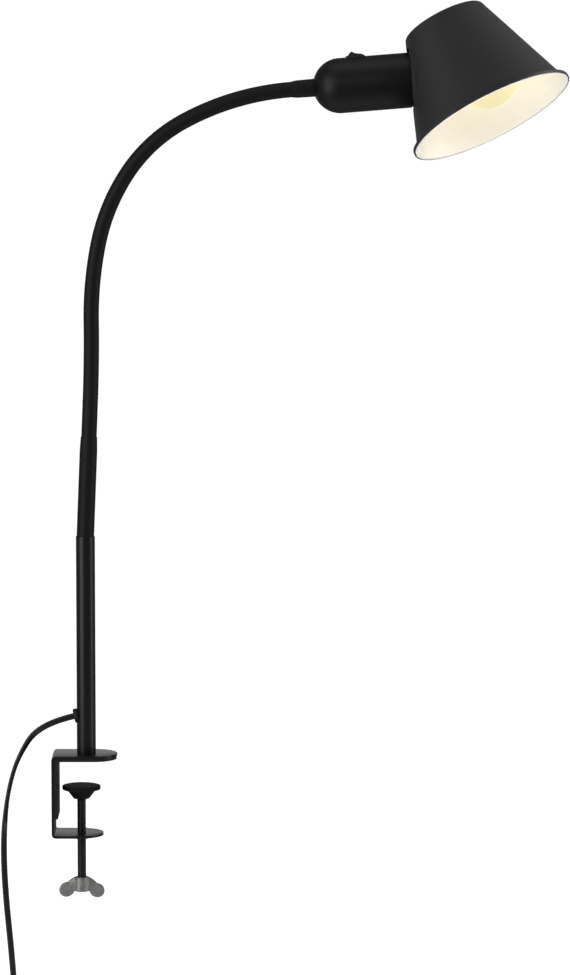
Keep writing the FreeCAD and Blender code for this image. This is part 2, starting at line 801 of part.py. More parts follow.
# Nipple: a threaded barrel through the dome with a cup behind it that holds the hose, and the nut inside
hose_outside = s.sheath_diameter / 2 - s.sheath_wall
nipple_cup = cut("nipple_cup_piece", cylinder("nipple_cup_solid", s.sheath_diameter / 2, s.nipple_cup + 3,
                                              (0, 0, -holder_radius - s.nipple_cup)),
                 sphere("nipple_seat", holder_radius))
nipple_barrel = cylinder("nipple_barrel", s.nipple_diameter / 2, s.nipple_length, (0, 0, -holder_radius))
nipple_space = joined("nipple_space", [
    cylinder("nipple_hose_space", hose_outside, s.nipple_cup + 1,
             (0, 0, -holder_radius - s.nipple_cup - 1)),
    cylinder("nipple_lead_space", s.lead_diameter / 2, s.nipple_length + 2, (0, 0, -holder_radius - 1)),
])
keep(cut("hose_nipple", joined("nipple_solid", [nipple_cup, nipple_barrel]), nipple_space), head)
nut_corner = s.nut_width / math.sqrt(3)
nut_z = -root(holder_bore * holder_bore - nut_corner * nut_corner)
nut_block = doc.addObject("Part::Prism", "nut_block")
nut_block.Polygon = 6
bind(nut_block, "Circumradius", nut_corner)
bind(nut_block, "Height", s.nut_height)
place(nut_block, (0, 0, nut_z), ALONG_Z)
nut_bore = cylinder("nut_bore", s.nipple_diameter / 2, s.nut_height + 2, (0, 0, nut_z - 1))
keep(cut("nipple_nut", nut_block, nut_bore), head)

# Lampholder insert: heights are measured from the open front of the housing
cap_radius = s.cap_diameter / 2
shell_radius = cap_radius + s.thread_shell_wall
collar_radius = s.collar_outer / 2
socket_back = front - s.socket_depth
socket_inner_floor = socket_back + s.socket_floor
socket_solid = turned("socket_solid", [
    (0, socket_back),
    (holder_bore, socket_back),
    (holder_bore, front - s.socket_shoulder),
    (collar_radius, front - s.socket_shoulder),
    (collar_radius, front + s.collar_reach),
    (shell_radius, front + s.collar_reach),
    (shell_radius, socket_inner_floor),
    (0, socket_inner_floor),
])
terminal_holes = []
for side, tag in ((1, "upper"), (-1, "lower")):
    terminal_x = side * s.terminal_spacing / 2
    terminal_holes.append(cylinder("terminal_hole_" + tag, s.terminal_shank / 2, s.terminal_shank_length,
                                   (terminal_x, 0, socket_back)))
keep(cut("socket_body", socket_solid, joined("terminal_holes", terminal_holes)), head)
keep(turned("socket_thread", [
    (cap_radius, socket_inner_floor),
    (shell_radius, socket_inner_floor),
    (shell_radius, front + s.thread_shell_reach),
    (cap_radius, front + s.thread_shell_reach),
]), head)
for side, tag in ((1, 1), (-1, 2)):
    terminal_x = side * s.terminal_spacing / 2
    keep(joined("terminal_screw_%d" % tag, [
        cylinder("terminal_head_%d" % tag, s.terminal_head / 2, s.terminal_head_height,
                 (terminal_x, 0, socket_back - s.terminal_head_height)),
        cylinder("terminal_shank_%d" % tag, s.terminal_shank / 2, s.terminal_shank_length,
                 (terminal_x, 0, socket_back)),
    ]), head)
keep(cylinder("centre_contact", s.spring_diameter / 2, s.spring_height), head * Placement(
    Vector(0, 0, socket_inner_floor.value), Rotation()))

# Bulb: glass with a tapered neck, cap and end contact
contact_z = socket_inner_floor + s.spring_height
cap_back = contact_z + s.contact_height
cap_bore = cap_radius - s.cap_wall
globe_radius = s.globe_diameter / 2
globe_z = front + s.globe_centre
neck_angle = s.globe_neck_angle
tangent_radius = globe_radius * cosine(neck_angle)
tangent_z = globe_z - globe_radius * sine(neck_angle)
glass_base_z = tangent_z - (tangent_radius - cap_bore) / tangent(neck_angle)
keep(cylinder("bulb_contact", s.contact_diameter / 2, s.contact_height), head * Placement(
    Vector(0, 0, contact_z.value), Rotation()))
keep(turned("bulb_cap", [
    (0, cap_back),
    (s.cap_end_diameter / 2, cap_back),
    (cap_radius, cap_back + s.cap_taper),
    (cap_radius, glass_base_z),
    (cap_bore, glass_base_z),
    (cap_bore, cap_back + s.cap_taper + s.cap_wall),
    (0, cap_back + s.cap_wall),
]), head)
glass_inside = globe_radius - s.glass_wall
inside_tangent_radius = glass_inside * cosine(neck_angle)
inside_tangent_z = globe_z - glass_inside * sine(neck_angle)
glass_neck_bore = cap_bore - s.glass_wall
inside_base_z = inside_tangent_z - (inside_tangent_radius - glass_neck_bore) / tangent(neck_angle)
glass_solid = joined("glass_solid", [
    cylinder("glass_foot", cap_bore, s.glass_seat, (0, 0, glass_base_z - s.glass_seat)),
    cone("glass_neck", cap_bore, tangent_radius, tangent_z - glass_base_z, (0, 0, glass_base_z)),
    sphere("glass_globe", globe_radius, (0, 0, globe_z), lowest=-neck_angle),
])
glass_hollow = joined("glass_hollow", [
    cylinder("hollow_foot", glass_neck_bore, inside_base_z - glass_base_z + s.glass_seat + 1,
             (0, 0, glass_base_z - s.glass_seat - 1)),
    cone("hollow_neck", glass_neck_bore, inside_tangent_radius, inside_tangent_z - inside_base_z,
         (0, 0, inside_base_z)),
    sphere("hollow_globe", glass_inside, (0, 0, globe_z), lowest=-neck_angle),
])
keep(cut("bulb_globe", glass_solid, glass_hollow), head)

# Rocker switch on top of the housing: X is up, and Z runs to the front
pivot_x = holder_radius - s.rocker_pivot_depth
switch_z = s.switch_position
bezel_block = box("bezel_block", s.bezel_height + 4, s.bezel_width, s.bezel_length,
                  (holder_radius - 4, -s.bezel_width / 2, switch_z - s.bezel_length / 2))
bezel_saddle = cut("bezel_saddle", bezel_block, cylinder("bezel_seat", holder_radius, front))
switch_block = box("switch_block", s.switch_depth, s.switch_width, s.switch_length,
                   (holder_radius + s.bezel_height / 2 - s.switch_depth, -s.switch_width / 2,
                    switch_z - s.switch_length / 2))
cavity_radius = s.rocker_radius + s.rocker_clearance
cavity_width = s.rocker_width + s.rocker_clearance * 2
cavity = cylinder("rocker_cavity", cavity_radius, cavity_width,
                  (pivot_x, -cavity_width / 2, switch_z), ALONG_Y)
pin_hole = cylinder("housing_pin_hole", s.rocker_pin_diameter / 2, s.switch_width + 2,
                    (pivot_x, -s.switch_width / 2 - 1, switch_z), ALONG_Y)
switch_solid = joined("switch_solid", [bezel_saddle, switch_block])
keep(cut("switch_housing", switch_solid, joined("switch_hollow", [cavity, pin_hole])), head)
keep(place(cylinder("rocker_pin", s.rocker_pin_diameter / 2, s.switch_width), (0, 0, 0), ALONG_Y),
     head * Placement(Vector(pivot_x.value, -s.switch_width.value / 2, switch_z.value), ALONG_Y))
rocker_top = holder_radius + s.rocker_low
rocker_reach = s.rocker_radius + 1
rocker_wedge = padded("rocker_wedge", "XZ_Plane", [
    (pivot_x - s.rocker_body_depth, switch_z - rocker_reach),
    (rocker_top + rocker_reach * tangent(s.rocker_slope), switch_z - rocker_reach),
    (rocker_top, switch_z),
    (rocker_top - rocker_reach * tangent(s.rocker_fall), switch_z + rocker_reach),
    (pivot_x - s.rocker_body_depth, switch_z + rocker_reach),
], s.rocker_width)
rocker_drum = cylinder("rocker_drum", s.rocker_radius, s.rocker_width,
                       (pivot_x, -s.rocker_width / 2, switch_z),
                       ALONG_Y)
rocker_bore = cylinder("rocker_bore", s.rocker_pin_diameter / 2 + s.pin_clearance, s.rocker_width + 2,
                       (pivot_x, -s.rocker_width / 2 - 1, switch_z), ALONG_Y)
keep(cut("rocker", common("rocker_solid", rocker_wedge, rocker_drum), rocker_bore), head)
blade_top = holder_radius + s.bezel_height / 2 - s.switch_depth
for side, tag in ((-1, 1), (1, 2)):
    blade_z = switch_z + side * s.blade_spacing / 2 - s.blade_thickness / 2
    blade = box("switch_terminal_%d" % tag, s.blade_length, s.blade_width, s.blade_thickness)
    keep(blade, head * Placement(Vector(blade_top.value - s.blade_length.value, -s.blade_width.value / 2,
                                        blade_z.value), Rotation()))

# Washer in front of the housing and the ring that holds the shade on the threaded collar
seat_z = front + s.washer_thickness + s.seat_gap
seat_inner_z = seat_z + s.seat_thickness
ring_z = seat_inner_z + s.seat_gap
keep(turned("shade_washer", [
    (collar_radius, front),
    (s.washer_outer / 2, front),
    (s.washer_outer / 2, front + s.washer_thickness),
    (collar_radius, front + s.washer_thickness),
]), head)
keep(turned("shade_ring", [
    (collar_radius, ring_z),
    (s.ring_diameter / 2, ring_z),
    (s.ring_diameter / 2, ring_z + s.ring_height),
    (collar_radius, ring_z + s.ring_height),
]), head)

# Shade: its own frame has its origin at the centre of the closed top and Z down its axis
roll = math.radians(s.shade_roll.value)
lean = math.radians(s.shade_lean.value)
side_line = up_way * -math.cos(roll) + Vector(0, -math.sin(roll), 0)
shade_way = side_line * math.cos(lean) + tube_way * math.sin(lean)
toward_tube = (tube_way - shade_way * tube_way.dot(shade_way)).normalize() * -1
front_centre = dome_centre + tube_way * front.value
top_edge = front_centre - tube_way * s.shade_setback.value - side_line * s.shade_top_rise.value
top_centre = top_edge - toward_tube * s.shade_top_radius.value
shade_turn = Rotation(toward_tube, shade_way.cross(toward_tube), shade_way, "ZXY")
shade_frame = Placement(top_centre, shade_turn)

slant = (s.shade_bottom_radius - s.shade_top_radius) / s.shade_height
wall = s.shade_wall
lip_bottom = s.shade_height + s.shade_lip_drop + s.shade_lip_height
cone_outside = turned("cone_outside", [
    (0, 0),
    (s.shade_top_radius, 0),
    (s.shade_bottom_radius, s.shade_height),
    (s.shade_lip_radius, s.shade_height + s.shade_lip_drop),
    (s.shade_lip_radius, lip_bottom),
    (0, lip_bottom),
])
cone_outside.Placement = shade_frame
cone_inside = turned("cone_inside", [
    (0, wall),
    (s.shade_top_radius - wall + slant * wall, wall),
    (s.shade_bottom_radius - wall, s.shade_height + wall / 2),
    (s.shade_lip_radius - wall, lip_bottom),
    (s.shade_lip_radius - wall, lip_bottom + 2),
    (0, lip_bottom + 2),
])
cone_inside.Placement = shade_frame
doc.recompute()


def rim(body, height):
    shape = body.Tip.Shape
    return ["Edge%d" % number for number, edge in enumerate(shape.Edges, start=1)
            if len(edge.Vertexes) == 1 and edge.BoundBox.ZLength < 0.01
            and abs(edge.BoundBox.ZMax - height) < 0.01]


round_body(cone_outside, "top_rounding", rim(cone_outside, 0.0), s.shade_top_rounding)
round_body(cone_inside, "top_hollow_rounding", rim(cone_inside, wall.value), s.shade_top_rounding - wall)


# A cylinder along the housing's axis between two heights
def on_tube(name, radius, start, end):
    thing = cylinder(name, radius, end - start)
    thing.Placement = head * Placement(Vector(0, 0, start.value), Rotation())
    return thing


seat_radius_outer = s.seat_diameter / 2
seat_boss = on_tube("seat_boss", seat_radius_outer, seat_z, seat_z + s.seat_depth)
seat_trim = on_tube("seat_trim", seat_radius_outer, seat_z - 25, seat_z)
seat_guard = on_tube("seat_guard", seat_radius_outer, seat_z - 25, seat_inner_z)
seat_hollow = on_tube("seat_hollow", seat_radius_outer - wall, seat_inner_z, seat_z + s.seat_depth + 1)
shade_hole = on_tube("shade_hole", collar_radius + s.shade_hole_clearance, seat_z - 5, seat_z + 5)
shade_solid = cut("shade_trimmed", joined("shade_solid", [cone_outside, seat_boss]), seat_trim)
cone_hollow = cut("cone_hollow", cone_inside, seat_guard)
shade_hollow = joined("shade_hollow", [cone_hollow, seat_hollow, shade_hole])
keep(cut("shade", shade_solid, shade_hollow))

# Free cord: straight runs joined by arcs, each as large as its two runs allow
cord_radius = s.cord_diameter.value / 2
gland_face = Vector(0, 0, gland_z.value) + gland_way * gland_reach.value
route = [gland_face, gland_face + gland_way * CORD_FIRST_RUN] + [Vector(x, 0, z) for x, z in CORD_POINTS]
bend_radii = []
for before, point, after in zip(route, route[1:], route[2:]):
    turn = (point - before).getAngle(after - point)
    shorter = min((point - before).Length, (after - point).Length)
    bend_radii.append(0.45 * shorter / math.tan(turn / 2))
print("cord bend radii, mm:", [round(radius, 1) for radius in bend_radii])
cord_path = rounded_path(route, bend_radii)
cord_tube = tube_on(cord_path, cord_radius, gland_face, gland_way)
cord_section = math.pi * cord_radius ** 2
print("cord tube: volume %.1f, section by length %.1f, length %.1f" % (
    cord_tube.Volume, cord_section * cord_path.Length, cord_path.Length))
keep_shape("cord", cord_tube)

# Coil: the length that hangs below the photograph, wound in and out in four layers about a level axis
coil_entry = route[-1]
coil_start = coil_entry - Vector(0, 0, s.cord_diameter.value)
coil_centre = coil_start + Vector(s.coil_outer_radius.value, 0, 0)
coil_step = s.coil_pitch.value / 4
quarters = COIL_QUARTERS_PER_LAYER * COIL_LAYERS


def coil_radius(q):
    inward = abs((q + COIL_QUARTERS_PER_LAYER) % (2 * COIL_QUARTERS_PER_LAYER) - COIL_QUARTERS_PER_LAYER)
    return s.coil_outer_radius.value - coil_step * inward


def coil_depth(q):
    depth = 0.0
    for turn_back in range(1, COIL_LAYERS):
        share = min(max((q - turn_back * COIL_QUARTERS_PER_LAYER + 1) / 2, 0.0), 1.0)
        depth += share * share * (3 - 2 * share)
    return depth * s.coil_pitch.value


def coil_point(q):
    angle = math.radians(180 + 90 * q)
    radius = coil_radius(q)
    return coil_centre + Vector(radius * math.cos(angle), coil_depth(q), radius * math.sin(angle))


def coil_way(q):
    if q in (0, quarters):
        return Vector(0, 0, -1)
    return (coil_point(q + 0.02) - coil_point(q - 0.02)).normalize()


def arc_from(start, way, end):
    chord = end - start
    half = way.getAngle(chord)
    side = way - chord * (way.dot(chord) / chord.dot(chord))
    if side.Length < 1e-9:
        return Part.LineSegment(start, end)
    middle = start + chord * 0.5 + side.normalize() * (chord.Length / 2 * math.tan(half / 2))
    return Part.Arc(start, middle, end)


def two_arcs(start, way, end, end_way):
    chord = end - start
    total = way + end_way
    bend = 2 * (1 - way.dot(end_way))
    reach = (math.sqrt(chord.dot(total) ** 2 + bend * chord.dot(chord)) - chord.dot(total)) / bend
    meeting = (start + way * reach + end - end_way * reach) * 0.5
    backwards = arc_from(end, end_way * -1, meeting).toShape()
    halfway = backwards.valueAt((backwards.FirstParameter + backwards.LastParameter) / 2)
    return [arc_from(start, way, meeting), Part.Arc(meeting, halfway, end)]


coil_curves = [Part.LineSegment(coil_entry, coil_start)]
for q in range(quarters):
    coil_curves += two_arcs(coil_point(q), coil_way(q), coil_point(q + 1), coil_way(q + 1))
tail_start = coil_point(quarters)
tail_end = tail_start - Vector(0, 0, s.tail_length.value)
coil_curves.append(Part.LineSegment(tail_start, tail_end))
coil_path = Part.Wire([curve.toShape() for curve in coil_curves])
coil_tube = tube_on(coil_path, cord_radius, coil_entry, Vector(0, 0, -1))
print("coil tube: volume %.1f, section by length %.1f, length %.1f" % (
    coil_tube.Volume, cord_section * coil_path.Length, coil_path.Length))
print("whole cord, mm: %.1f" % (cord_path.Length + coil_path.Length))
samples = coil_path.discretize(Distance=2.0)
spacing = coil_path.Length / (len(samples) - 1)
skip = int(12.0 / spacing)
least = min(samples[i].distanceToPoint(samples[j])
            for i in range(len(samples)) for j in range(i + skip, len(samples)))
print("coil's least gap to itself, mm: %.2f" % (least - s.cord_diameter.value))
keep_shape("cord_coil", coil_tube)

# Strap round the bundle where the cord enters it
tie_inner_x = coil_centre.x - coil_radius(8) + cord_radius + s.tie_slack.value
tie_outer_x = coil_start.x - cord_radius
tie_low_y = -cord_radius
tie_high_y = coil_depth(quarters) + cord_radius
strap = s.tie_thickness.value
strap_outer = Part.makeBox(tie_inner_x - tie_outer_x + 2 * strap, tie_high_y - tie_low_y + 2 * strap,
                           s.tie_width.value,
                           Vector(tie_outer_x - strap, tie_low_y - strap,
                                  coil_start.z - s.tie_width.value / 2))
strap_edges = [edge for edge in strap_outer.Edges if abs(edge.BoundBox.ZLength - s.tie_width.value) < 0.01]
strap_outer = strap_outer.makeFillet(strap * 1.5, strap_edges)
strap_hollow = Part.makeBox(tie_inner_x - tie_outer_x, tie_high_y - tie_low_y, s.tie_width.value + 2,
                            Vector(tie_outer_x, tie_low_y, coil_start.z - s.tie_width.value / 2 - 1))
keep_shape("coil_tie", strap_outer.cut(strap_hollow))

# Plug that hangs under the coil: boot, flat body and two round pins
plug_frame = Placement(tail_end, Rotation())
keep(turned("plug_boot", [
    (0, 0),
    (s.boot_start / 2, 0),
    (s.boot_end / 2, -s.boot_length),
    (0, -s.boot_length),
]), plug_frame)
plug_back = -s.boot_length
plug_face = plug_back - s.plug_length
plug_solid = padded("plug_solid", "XZ_Plane", [
    (-s.plug_back_width / 2, plug_back),
    (s.plug_back_width / 2, plug_back),
    (s.plug_width / 2, plug_face + s.plug_face_length),
    (s.plug_width / 2, plug_face),
    (-s.plug_width / 2, plug_face),
    (-s.plug_width / 2, plug_face + s.plug_face_length),
], s.plug_thickness)
doc.recompute()
half_plug = s.plug_thickness.value / 2
side_edges = []
for number, edge in enumerate(plug_solid.Shape.Edges, start=1):
    ends = [vertex.Point for vertex in edge.Vertexes]
    on_side = all(abs(abs(point.y) - half_plug) < 0.01 and abs(point.x) > s.plug_back_width.value / 2 - 0.01
                  for point in ends)
    if on_side and abs(ends[0].z - ends[1].z) > 1 and ends[0].x * ends[1].x > 0:
        side_edges.append("Edge%d" % number)
round_body(plug_solid, "plug_corners", side_edges, s.plug_corner)
pin_sides = ((-1, 1), (1, 2))
pin_seats = [cylinder("pin_seat_%d" % tag, s.plug_pin_diameter / 2, s.plug_pin_seat,
                      (side * s.plug_pin_spacing / 2, 0, plug_face)) for side, tag in pin_sides]
keep(cut("plug_body", plug_solid, joined("pin_seats", pin_seats)), plug_frame)
for side, tag in pin_sides:
    pin = cylinder("plug_pin_%d" % tag, s.plug_pin_diameter / 2, s.plug_pin_length + s.plug_pin_seat)
    keep(pin, plug_frame * Placement(Vector(side * s.plug_pin_spacing.value / 2, 0,
                                            plug_face.value - s.plug_pin_length.value), Rotation()))

# Recompute, check every object, and write each piece
doc.recompute()
for thing in doc.Objects:
    if "Invalid" in thing.State or "Error" in thing.State:
        raise SystemExit("%s failed: %s" % (thing.Label, thing.State))
for thing in nodes:
    shape = thing.Shape
    if shape.isNull() or not shape.isValid() or len(shape.Solids) != 1:
        raise SystemExit("%s isn't one valid solid" % thing.Label)
    shape.exportStep("parts/%s.step" % thing.Label)
print("pieces:", len(nodes))
print("pole top %.2f, neck end (%.2f, %.2f), heading %.2f" % (
    pole_top.value, neck_end.x, neck_end.z, head_heading))
print("front of the housing (%.2f, %.2f)" % (front_centre.x, front_centre.z))
print("top of the shade (%.2f, %.2f, %.2f), its axis (%.3f, %.3f, %.3f)" % (
    top_centre.x, top_centre.y, top_centre.z,
    shade_way.x, shade_way.y, shade_way.z))
for number, link in enumerate(links):
    print("stretch %d starts at (%.3f, %.3f), heading %.3f" % (
        number, link[0].start.x, link[0].start.z, link[0].heading))
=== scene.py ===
# %% [markdown]
# # A clamp lamp, dressed over its measured frame
# The lamp is a steel clamp with a short pole, a gooseneck in a black sheath, a round housing for the
# lampholder and a pressed steel shade. The frame comes from the measured solids. Each cell below swaps a plain
# solid for a finished one, in its place, so that the lamp keeps its sizes and its joints.

# %% Load the frame
import math
import bmesh
import bpy
import numpy as np
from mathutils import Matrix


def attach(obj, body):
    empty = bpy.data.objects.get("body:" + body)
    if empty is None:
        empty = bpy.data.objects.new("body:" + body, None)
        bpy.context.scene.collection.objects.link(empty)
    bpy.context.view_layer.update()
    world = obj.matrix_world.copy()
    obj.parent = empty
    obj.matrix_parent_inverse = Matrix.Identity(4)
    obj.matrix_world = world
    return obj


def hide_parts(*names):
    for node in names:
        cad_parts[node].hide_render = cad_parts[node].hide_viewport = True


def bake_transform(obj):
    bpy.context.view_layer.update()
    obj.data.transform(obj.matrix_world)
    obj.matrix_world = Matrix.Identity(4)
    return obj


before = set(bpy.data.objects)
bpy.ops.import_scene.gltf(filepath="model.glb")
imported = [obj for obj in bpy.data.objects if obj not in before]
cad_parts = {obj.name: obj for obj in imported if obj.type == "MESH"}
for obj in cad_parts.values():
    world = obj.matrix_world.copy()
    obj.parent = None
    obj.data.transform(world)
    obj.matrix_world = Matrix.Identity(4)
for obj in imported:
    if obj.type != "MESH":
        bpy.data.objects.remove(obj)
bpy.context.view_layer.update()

# %% [markdown]
# ## Camera
# The photograph was taken from far away with a long lens: the jaws are seen a little from above, and the
# housing almost level. Three and a half metres away, 6.7 degrees down, gives the same ellipses.

# %% Camera


def in_scene(name, data):
    """A new object that holds the data and is linked into the scene."""
    piece = bpy.data.objects.new(name, data)
    bpy.context.scene.collection.objects.link(piece)
    return piece


VIEW_PITCH = math.radians(6.7)
VIEW_DISTANCE, LENS_MM, SENSOR_MM = 3.525, 173.5, 36.0
looked_at = np.array([0.14994, 0.0, 0.20598])
eye = looked_at - VIEW_DISTANCE * np.array([0.0, math.cos(VIEW_PITCH), -math.sin(VIEW_PITCH)])
lens = bpy.data.cameras.new("camera")
lens.sensor_fit = "VERTICAL"
lens.sensor_height = SENSOR_MM
lens.lens = LENS_MM
lens.clip_end = 50.0
camera = in_scene("camera", lens)
camera.location = eye.tolist()
camera.rotation_euler = (math.pi / 2 - VIEW_PITCH, 0.0, 0.0)
bpy.context.scene.camera = camera
print("camera at", eye.round(3))

# %% [markdown]
# ## Grids
# Every new surface here is a table of points, rows along the piece and columns round it. Neighbours in the
# table share a face, so one rule makes the faces of a shade, a wing nut or a cord. Where a row shrinks to one
# point or the last column meets the first, the doubled points are merged and the surface is closed.

# %% Faces, meshes and frames
MM = 0.001


def grid_faces(rows, columns, closed_rows):
    """Each cell of the table is a face: (r, c), (r, c + 1), (r + 1, c + 1), (r + 1, c). Columns always go round."""
    r, c = np.meshgrid(np.arange(rows if closed_rows else rows - 1), np.arange(columns), indexing="ij")
    below, beside = (r + 1) % rows, (c + 1) % columns
    corners = [r * columns + c, r * columns + beside, below * columns + beside, below * columns + c]
    return np.stack(corners, -1).reshape(-1, 4), r.ravel(), c.ravel()


def put_down(mesh, body, slot_name, *nodes):
    """Shows a finished mesh under its own name, lets it ride on a body and stand for the frame's nodes."""
    piece = in_scene(mesh.name, mesh)
    if body:
        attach(piece, body)
    if nodes:
        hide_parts(*nodes)
    return piece


def tidy_mesh(mesh, crease=32.0):
    """Merges doubled points, turns all faces outwards and shades smoothly up to the crease angle."""
    cage = bmesh.new()
    cage.from_mesh(mesh)
    bmesh.ops.remove_doubles(cage, verts=cage.verts, dist=1.5e-6)
    bmesh.ops.dissolve_degenerate(cage, edges=cage.edges, dist=1e-7)
    bmesh.ops.recalc_face_normals(cage, faces=cage.faces)
    cage.to_mesh(mesh)
    cage.free()
    mesh.shade_smooth()
    mesh.set_sharp_from_angle(angle=math.radians(crease))
    return mesh


def grid_mesh(name, points, closed_rows=False, finish_of_row=None, crease=32.0, uv_mm=None):
    """points has the shape (rows, columns, 3), in millimetres. finish_of_row gives each row of faces its finish."""
    rows, columns = points.shape[:2]
    faces, face_row, face_column = grid_faces(rows, columns, closed_rows)
    mesh = bpy.data.meshes.new(name)
    mesh.from_pydata((points.reshape(-1, 3) * MM).tolist(), [], faces.tolist())
    if uv_mm is not None:
        across = np.stack([face_column, face_column + 1, face_column + 1, face_column], -1) / columns * uv_mm[0]
        along = np.stack([uv_mm[1][face_row]] * 2 + [uv_mm[1][(face_row + 1) % rows]] * 2, -1)
        chart = mesh.uv_layers.new(name="UVMap")
        chart.data.foreach_set("uv", np.stack([across, along], -1).astype(np.float32).ravel() * MM)
    if finish_of_row is not None:
        mesh.polygons.foreach_set("material_index", np.asarray(finish_of_row)[face_row].astype(np.int32))
    return tidy_mesh(mesh, crease)


def applied(piece):
    """A new mesh of the piece with its modifiers applied."""
    return bpy.data.meshes.new_from_object(piece.evaluated_get(bpy.context.evaluated_depsgraph_get()))


class Place:
    """Where a piece stands: its origin in millimetres and its own x, y and z directions in the lamp's frame."""

    def __init__(self, origin, x, z):
        self.origin = np.array(origin, float)
        self.z = np.array(z, float) / np.linalg.norm(z)
        x = np.array(x, float) - np.dot(x, self.z) * self.z
        self.x = x / np.linalg.norm(x)
        self.y = np.cross(self.z, self.x)

    def put(self, local):
        """Own coordinates to the lamp's: origin + x times the x direction + y times y + z times z."""
        return self.origin + local @ np.stack([self.x, self.y, self.z])


UPRIGHT = Place((0, 0, 0), (1, 0, 0), (0, 0, 1))

# %% [markdown]
# ## Turned pieces
# Most of the lamp is round: pole, sleeves, housing, bulb, foot. A turner cuts a profile and the lathe does the
# rest, and here the profile is a list of radii and heights. Real edges are never knife sharp, so each corner of
# a profile is swapped for a short curve that touches both sides, which is what catches the light.

# %% Profiles and turning


def softened(corners, radius, steps=5, closed=True):
    """Each corner P becomes (1-t)^2 A + 2 t (1-t) P + t^2 B. A and B are on its sides, radius / tan(half) away."""
    p = np.array(corners, float)
    size = np.broadcast_to(np.asarray(radius, float), (len(p),))
    sides = np.stack([np.roll(p, 1, 0) - p, np.roll(p, -1, 0) - p])
    lengths = np.linalg.norm(sides, axis=2)
    ways = sides / lengths[..., None]
    half = np.arccos(np.clip((ways[0] * ways[1]).sum(1), -1, 1)) / 2
    reach = np.minimum(size / np.maximum(np.tan(half), 1e-3), 0.48 * lengths.min(0))
    if not closed:
        reach[[0, -1]] = 0.0
    a, b = p + ways * reach[:, None]
    t = np.linspace(0, 1, steps)[None, :, None]
    curve = (1 - t) ** 2 * a[:, None] + 2 * t * (1 - t) * p[:, None] + t ** 2 * b[:, None]
    if closed:
        return curve.reshape(-1, 2)
    return np.concatenate([p[:1], curve[1:-1].reshape(-1, 2), p[-1:]])


def full_turn(count):
    """The angles of a full turn in even steps, the last one short of the first."""
    return np.linspace(0, 2 * np.pi, count, endpoint=False)


def about_axis(radius, height, angle, place):
    """Radius times (cos a, sin a) across and height along, set down in its place."""
    return place.put(np.stack([radius * np.cos(angle), radius * np.sin(angle), height + 0 * radius * angle], -1))


def turned_points(profile, place=UPRIGHT, columns=96):
    """Row r of the surface is the profile's point r, carried round the axis."""
    return about_axis(profile[:, :1], profile[:, 1:], full_turn(columns), place)


def turned(name, body, slot_name, nodes, profile, place=UPRIGHT, columns=96, closed=True, finish_of_row=None):
    """A round piece that rides on a body in place of the frame's nodes."""
    mesh = grid_mesh(name, turned_points(profile, place, columns), closed, finish_of_row)
    return put_down(mesh, body, slot_name, *nodes)


def arc(centre_height, radius, start, end, steps=24):
    """Radii and heights of an arc about a point on the axis, angles in degrees from the axis's far end."""
    angle = np.radians(np.linspace(start, end, steps))
    return np.stack([radius * np.sin(angle), centre_height + radius * np.cos(angle)], -1)


print("a softened square has", len(softened([(0, 0), (1, 0), (1, 1), (0, 1)], 0.1)), "points")

# %% [markdown]
# ## Cord
# A flat twin cord leaves a bush in the pole's side, bends down over its own weight and hangs past the clamp.
# The rest of its 1.8 metres is wound up below the photograph's edge and tied. The whole cord is one smooth
# spline. Its control points are those of the measured route, then the corners of a polygon drawn round each
# turn of the coil, because a spline of order three touches the middle of every side of such a polygon.

# %% The cord's line


def unit(rows):
    """Each row divided by its length."""
    return rows / np.linalg.norm(rows, axis=1)[:, None]


def run_along(points):
    """The distance along a line, from its first point to each."""
    return np.r_[0, np.cumsum(np.linalg.norm(np.diff(points, axis=0), axis=1))]


bush_face = (-9.15, 0.0, 32.3876)
hang = [(-35.458, 26.314), (-52.0, 0.9), (-59.5, -25.4), (-62.7, -53.5), (-62.9, -81.6), (-61.3, -109.5),
        (-58.6, -137.8), (-56.3, -165.4), (-55.2, -188.5), (-55.2, -210.3)]
COIL_RADIUS, COIL_PITCH, COIL_TURNS, SIDES = 31.9, 5.2, 9, 16
coil_centre = np.array([-23.3, 0.0, -215.0])
CORD_END = np.array([-55.2, 15.6, -240.0])


def coil_corners():
    """Corner k is at 180 + 22.5 (k + 1/2) degrees. The radius goes in and out by a pitch a turn, in four layers."""
    quarter = (np.arange(COIL_TURNS * SIDES) + 0.5) / SIDES * 4
    inward = np.abs((quarter + 9) % 18 - 9)
    radius = (COIL_RADIUS - inward * COIL_PITCH / 4) / math.cos(math.pi / SIDES)
    share = np.clip((quarter[:, None] - np.array([9, 18, 27]) + 1) / 2, 0, 1)
    depth = (share ** 2 * (3 - 2 * share)).sum(1) * COIL_PITCH
    angle = np.radians(180 + 90 * quarter)
    return coil_centre + np.stack([radius * np.cos(angle), depth, radius * np.sin(angle)], -1)


route = np.concatenate([
    [bush_face],
    [(x, 0.0, z) for x, z in hang],
    coil_corners(),
    [CORD_END + (0, 0, 18.7), CORD_END],
])
line = bpy.data.curves.new("cord_line", "CURVE")
line.dimensions = "3D"
line.resolution_u = 12
spline = line.splines.new("NURBS")
spline.points.add(len(route) - 1)
spline.points.foreach_set("co", np.c_[route * MM, np.ones(len(route))].ravel())
spline.order_u = 3
spline.use_endpoint_u = True
line_piece = in_scene("cord_line", line)
traced = bpy.data.meshes.new_from_object(line_piece)
cord_points = np.empty(len(traced.vertices) * 3)
traced.vertices.foreach_get("co", cord_points)
cord_points = cord_points.reshape(-1, 3) / MM
bpy.data.objects.remove(line_piece)
print("cord's line: %d points, %.3f m" % (len(cord_points), run_along(cord_points)[-1] * MM))

# %% [markdown]
# The cord itself is two insulated cores moulded side by side, 4.7 mm across both and 2.7 mm thick. The section
# is carried along the line as a table of points. A flat cord never hangs without a twist: over the bend it
# stands on edge, further down it shows its broad side, and in the coil it lies flat against the turn below.

